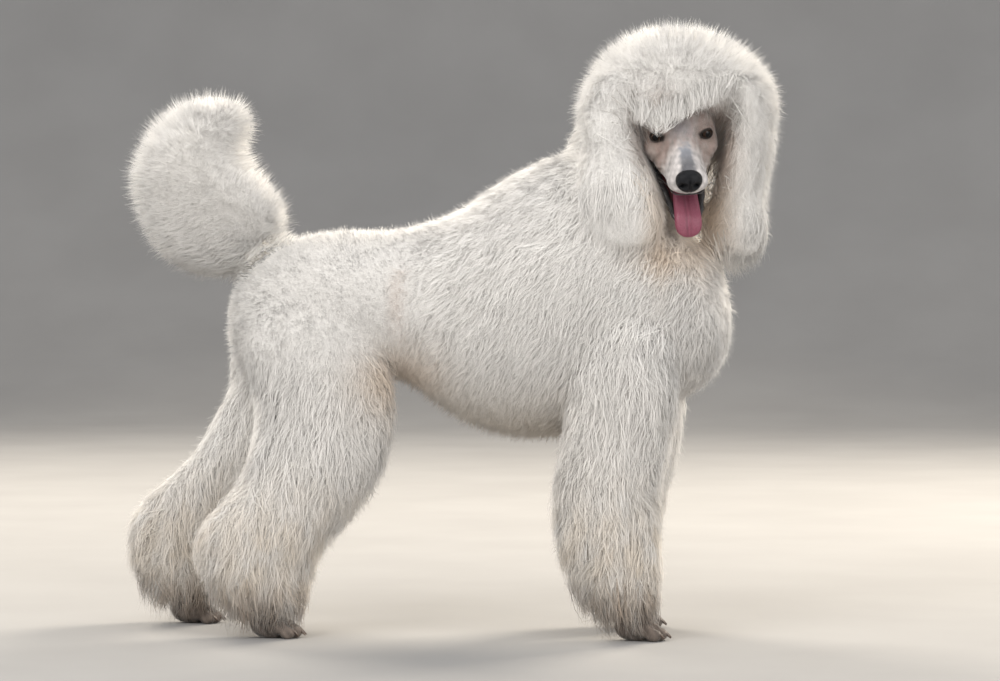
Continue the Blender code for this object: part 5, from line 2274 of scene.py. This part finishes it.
@dataclass
class Fringe:
    """Fine single strands that hang ragged over the brow.

    The hem is drawn in the view from the dog's right, and the parting is where it hangs lowest.
    """

    coated: dict[str, CoatedForm]
    count: int = 1500
    hem_x: tuple = (0.262, 0.3, 0.335, 0.352, 0.385, 0.395)
    hem_z: tuple = (0.726, 0.722, 0.729, 0.742, 0.754, 0.762)
    above: float = 0.014
    parting: float = 0.303
    longest: float = 0.013
    shortest: float = 0.007
    seed: int = 91

    def build(self) -> Object:
        """Strands that leave the brow's hem and hang past it, longest over the right eye's corner.

        Returns:
            The piece.
        """
        draw = np.random.default_rng(self.seed)
        count = self.count
        x = draw.uniform(self.hem_x[0], self.hem_x[-1], count)
        ragged = 0.5 + 0.5 * np.sin(x * 620 + 1.0) * np.sin(x * 1490)
        drop = self.longest * np.exp(-(((x - self.parting) / 0.012) ** 2)) + self.shortest * ragged
        below = (self.above + drop) * draw.uniform(0, 1, count) ** 0.7
        z = np.interp(x, self.hem_x, self.hem_z) + self.above - below
        y = -0.109 + 0.02 * ((x - 0.322) / 0.066) ** 2 + draw.normal(0, 0.002, count)
        tips = np.column_stack((x, y, z))
        ways = unit((0.0, -0.1, -1.0) + draw.normal(0, 0.2, (count, 3)) + waves(tips, 0.02, 15) * 0.32)
        forward = np.array(HEAD_AXES.to_3x3())[:, 0]
        luck = clump_of(tips, np.array((0.006, 0.006, 0.05)), 5)[1]
        length = 0.028 * draw.uniform(0.7, 1.2, count)
        t, angle = self.coated["topknot"].form.place(tips - ways * length[:, None])
        tufts = Tufts(
            tips=tips + ORIGIN,
            normals=np.broadcast_to(unit(forward + np.array((0, 0, 0.3))), tips.shape),
            ways=ways,
            lengths=length,
            widths=0.00034 * draw.uniform(0.6, 1.4, count),
            arches=0.14 * draw.uniform(0.5, 1.4, count),
            swings=0.0024 * draw.uniform(0.3, 1.2, count),
            phases=luck + draw.normal(0, 0.12, count),
            tones=np.array(PALETTE.coat) * draw.uniform(0.85, 1.02, count)[:, None],
            places=atlas_place(list(self.coated).index("topknot"), angle, t),
            knots=4,
        )
        return tufts.build("coat_fringe")


@dataclass(frozen=True)
class Lamp:
    """A square soft light: where it hangs, the length of its side, its power in watts, its colour."""

    name: str
    place: tuple[float, float, float]
    side: float
    power: float
    colour: Colour
    aim: tuple[float, float, float] = (0.0, 0.0, 0.45)

    def hang(self) -> None:
        """Adds the light to the scene, facing the dog's middle."""
        data = bpy.data.lights.new(self.name, "AREA")
        data.size, data.energy, data.color = self.side, self.power, self.colour
        lamp = bpy.data.objects.new(self.name, data)
        lamp.location = self.place
        ahead = Vector(self.aim) - Vector(self.place)
        lamp.rotation_euler = ahead.to_track_quat("-Z", "Y").to_euler()
        bpy.context.scene.collection.objects.link(lamp)


LAMPS = (
    Lamp("key", (-1.8, -3.6, 3.2), 3.2, 190.0, (1.0, 0.97, 0.93)),
    Lamp("fill", (3.2, -3.4, 1.8), 3.0, 90.0, (1.0, 0.98, 0.96)),
    Lamp("rim_right", (2.2, 3.0, 2.6), 1.8, 260.0, (1.0, 0.9, 0.76)),
    Lamp("rim_left", (-2.4, 3.0, 2.8), 1.8, 190.0, (1.0, 0.91, 0.78)),
)


@dataclass
class Studio:
    """The camera at the photo's angle, a plain pale floor and soft light.

    The camera stands at the distance, height and place aside that the photo's frame asks for. The
    floor runs between its ends, bends up by its radius and goes on as a wall.
    """

    azimuth_deg: float = 5.0
    distance: float = 5.6
    focal_pixels: float = 3920.0
    height: float = 0.619
    aside: float = 0.0693
    horizon_above_middle: float = 140.5
    picture_width: float = 1000.0
    sensor: float = 36.0
    floor_ends: tuple[float, float] = (-7.0, 5.0)
    floor_half_width: float = 9.0
    bend_radius: float = 2.5
    wall_stretch: float = 14.0

    def camera(self) -> None:
        """Puts the camera to the dog's right and a little ahead, looking slightly down."""
        azimuth = math.radians(self.azimuth_deg)
        right = Vector((math.cos(azimuth), math.sin(azimuth), 0.0))
        level = Vector((-right.y, right.x, 0.0))
        pitch = math.atan(self.horizon_above_middle / self.focal_pixels)
        ahead = level * math.cos(pitch) + Vector((0.0, 0.0, -math.sin(pitch)))
        up = right.cross(ahead)
        place = -level * self.distance + right * self.aside + Vector((0.0, 0.0, self.height)) + Vector(ORIGIN)
        data = bpy.data.cameras.new("camera")
        data.sensor_width = self.sensor
        data.lens = self.focal_pixels * self.sensor / self.picture_width
        data.clip_start, data.clip_end = 0.1, 60.0
        camera = bpy.data.objects.new("camera", data)
        turn = Matrix((right, up, -ahead)).transposed().to_4x4()
        camera.matrix_world = Matrix.Translation(place) @ turn
        bpy.context.scene.collection.objects.link(camera)
        bpy.context.scene.camera = camera

    def floor(self) -> Object:
        """A plain floor that curves up far behind the dog into a wall.

        Returns:
            The floor.
        """
        rows, columns = 60, 20
        flat, curve, bent = 0.45, 0.25, 0.7
        near, far = self.floor_ends
        s = np.linspace(0, 1, rows)
        bend = np.clip((s - flat) / curve, 0, 1) * math.pi / 2
        depth = np.where(s < flat, near + s / flat * (far - near), far + self.bend_radius * np.sin(bend))
        rise = np.where(s < flat, 0.0, self.bend_radius * (1 - np.cos(bend)))
        rise += np.clip(s - bent, 0, 1) * self.wall_stretch
        x = np.linspace(-self.floor_half_width, self.floor_half_width, columns)
        points = np.stack(np.broadcast_arrays(x, depth[:, None], rise[:, None]), axis=-1).reshape(-1, 3)
        mesh = new_mesh("studio_floor", points, [grid_quads(rows, columns)])
        floor = FLOOR.dress(new_object("studio_floor", mesh))
        return floor

    def build(self) -> None:
        """Camera, floor, lights and the pale surroundings."""
        self.camera()
        self.floor()
        for lamp in LAMPS:
            lamp.hang()
        world = bpy.data.worlds.new("surroundings")
        world.use_nodes = True
        sky = world.node_tree.nodes["Background"]
        sky.inputs["Color"].default_value = (0.95, 0.955, 0.97, 1)
        sky.inputs["Strength"].default_value = 0.75
        bpy.context.scene.view_settings.view_transform = "Standard"
        bpy.context.scene.world = world


def main() -> None:
    """Builds and dresses the dog, then the studio round it."""
    logging.basicConfig(level=logging.INFO, format="%(name)s: %(message)s")
    coated = coated_forms()
    skin = Skin(coated).build()
    flesh = [name for name in frame["nodes"] if name not in ("eye_right", "eye_left", "nose", "tongue")]
    ride(skin, "skin", *flesh)
    for socket, node in zip(SOCKETS, ("eye_right", "eye_left")):
        ride(socket.eyeball(), "eye", node)
        ride(socket.lids(), "skin")
    ride(Nose().build(), "nose", "nose")
    for piece in Mouth().build():
        if piece.name == "tongue_flesh":
            ride(piece, "tongue", "tongue")
        else:
            ride(piece, "skin")
    for name, place in PAWS.items():
        ride(claws(name.replace("paw_", "claws_"), place), "paw")
    for piece in LongCoat(coated).build():
        ride(piece, "coat")
    ride(FaceFur(skin).build(), "coat")
    ride(Fringe(coated).build(), "coat")
    Studio().build()


if __name__ == "__main__":
    main()
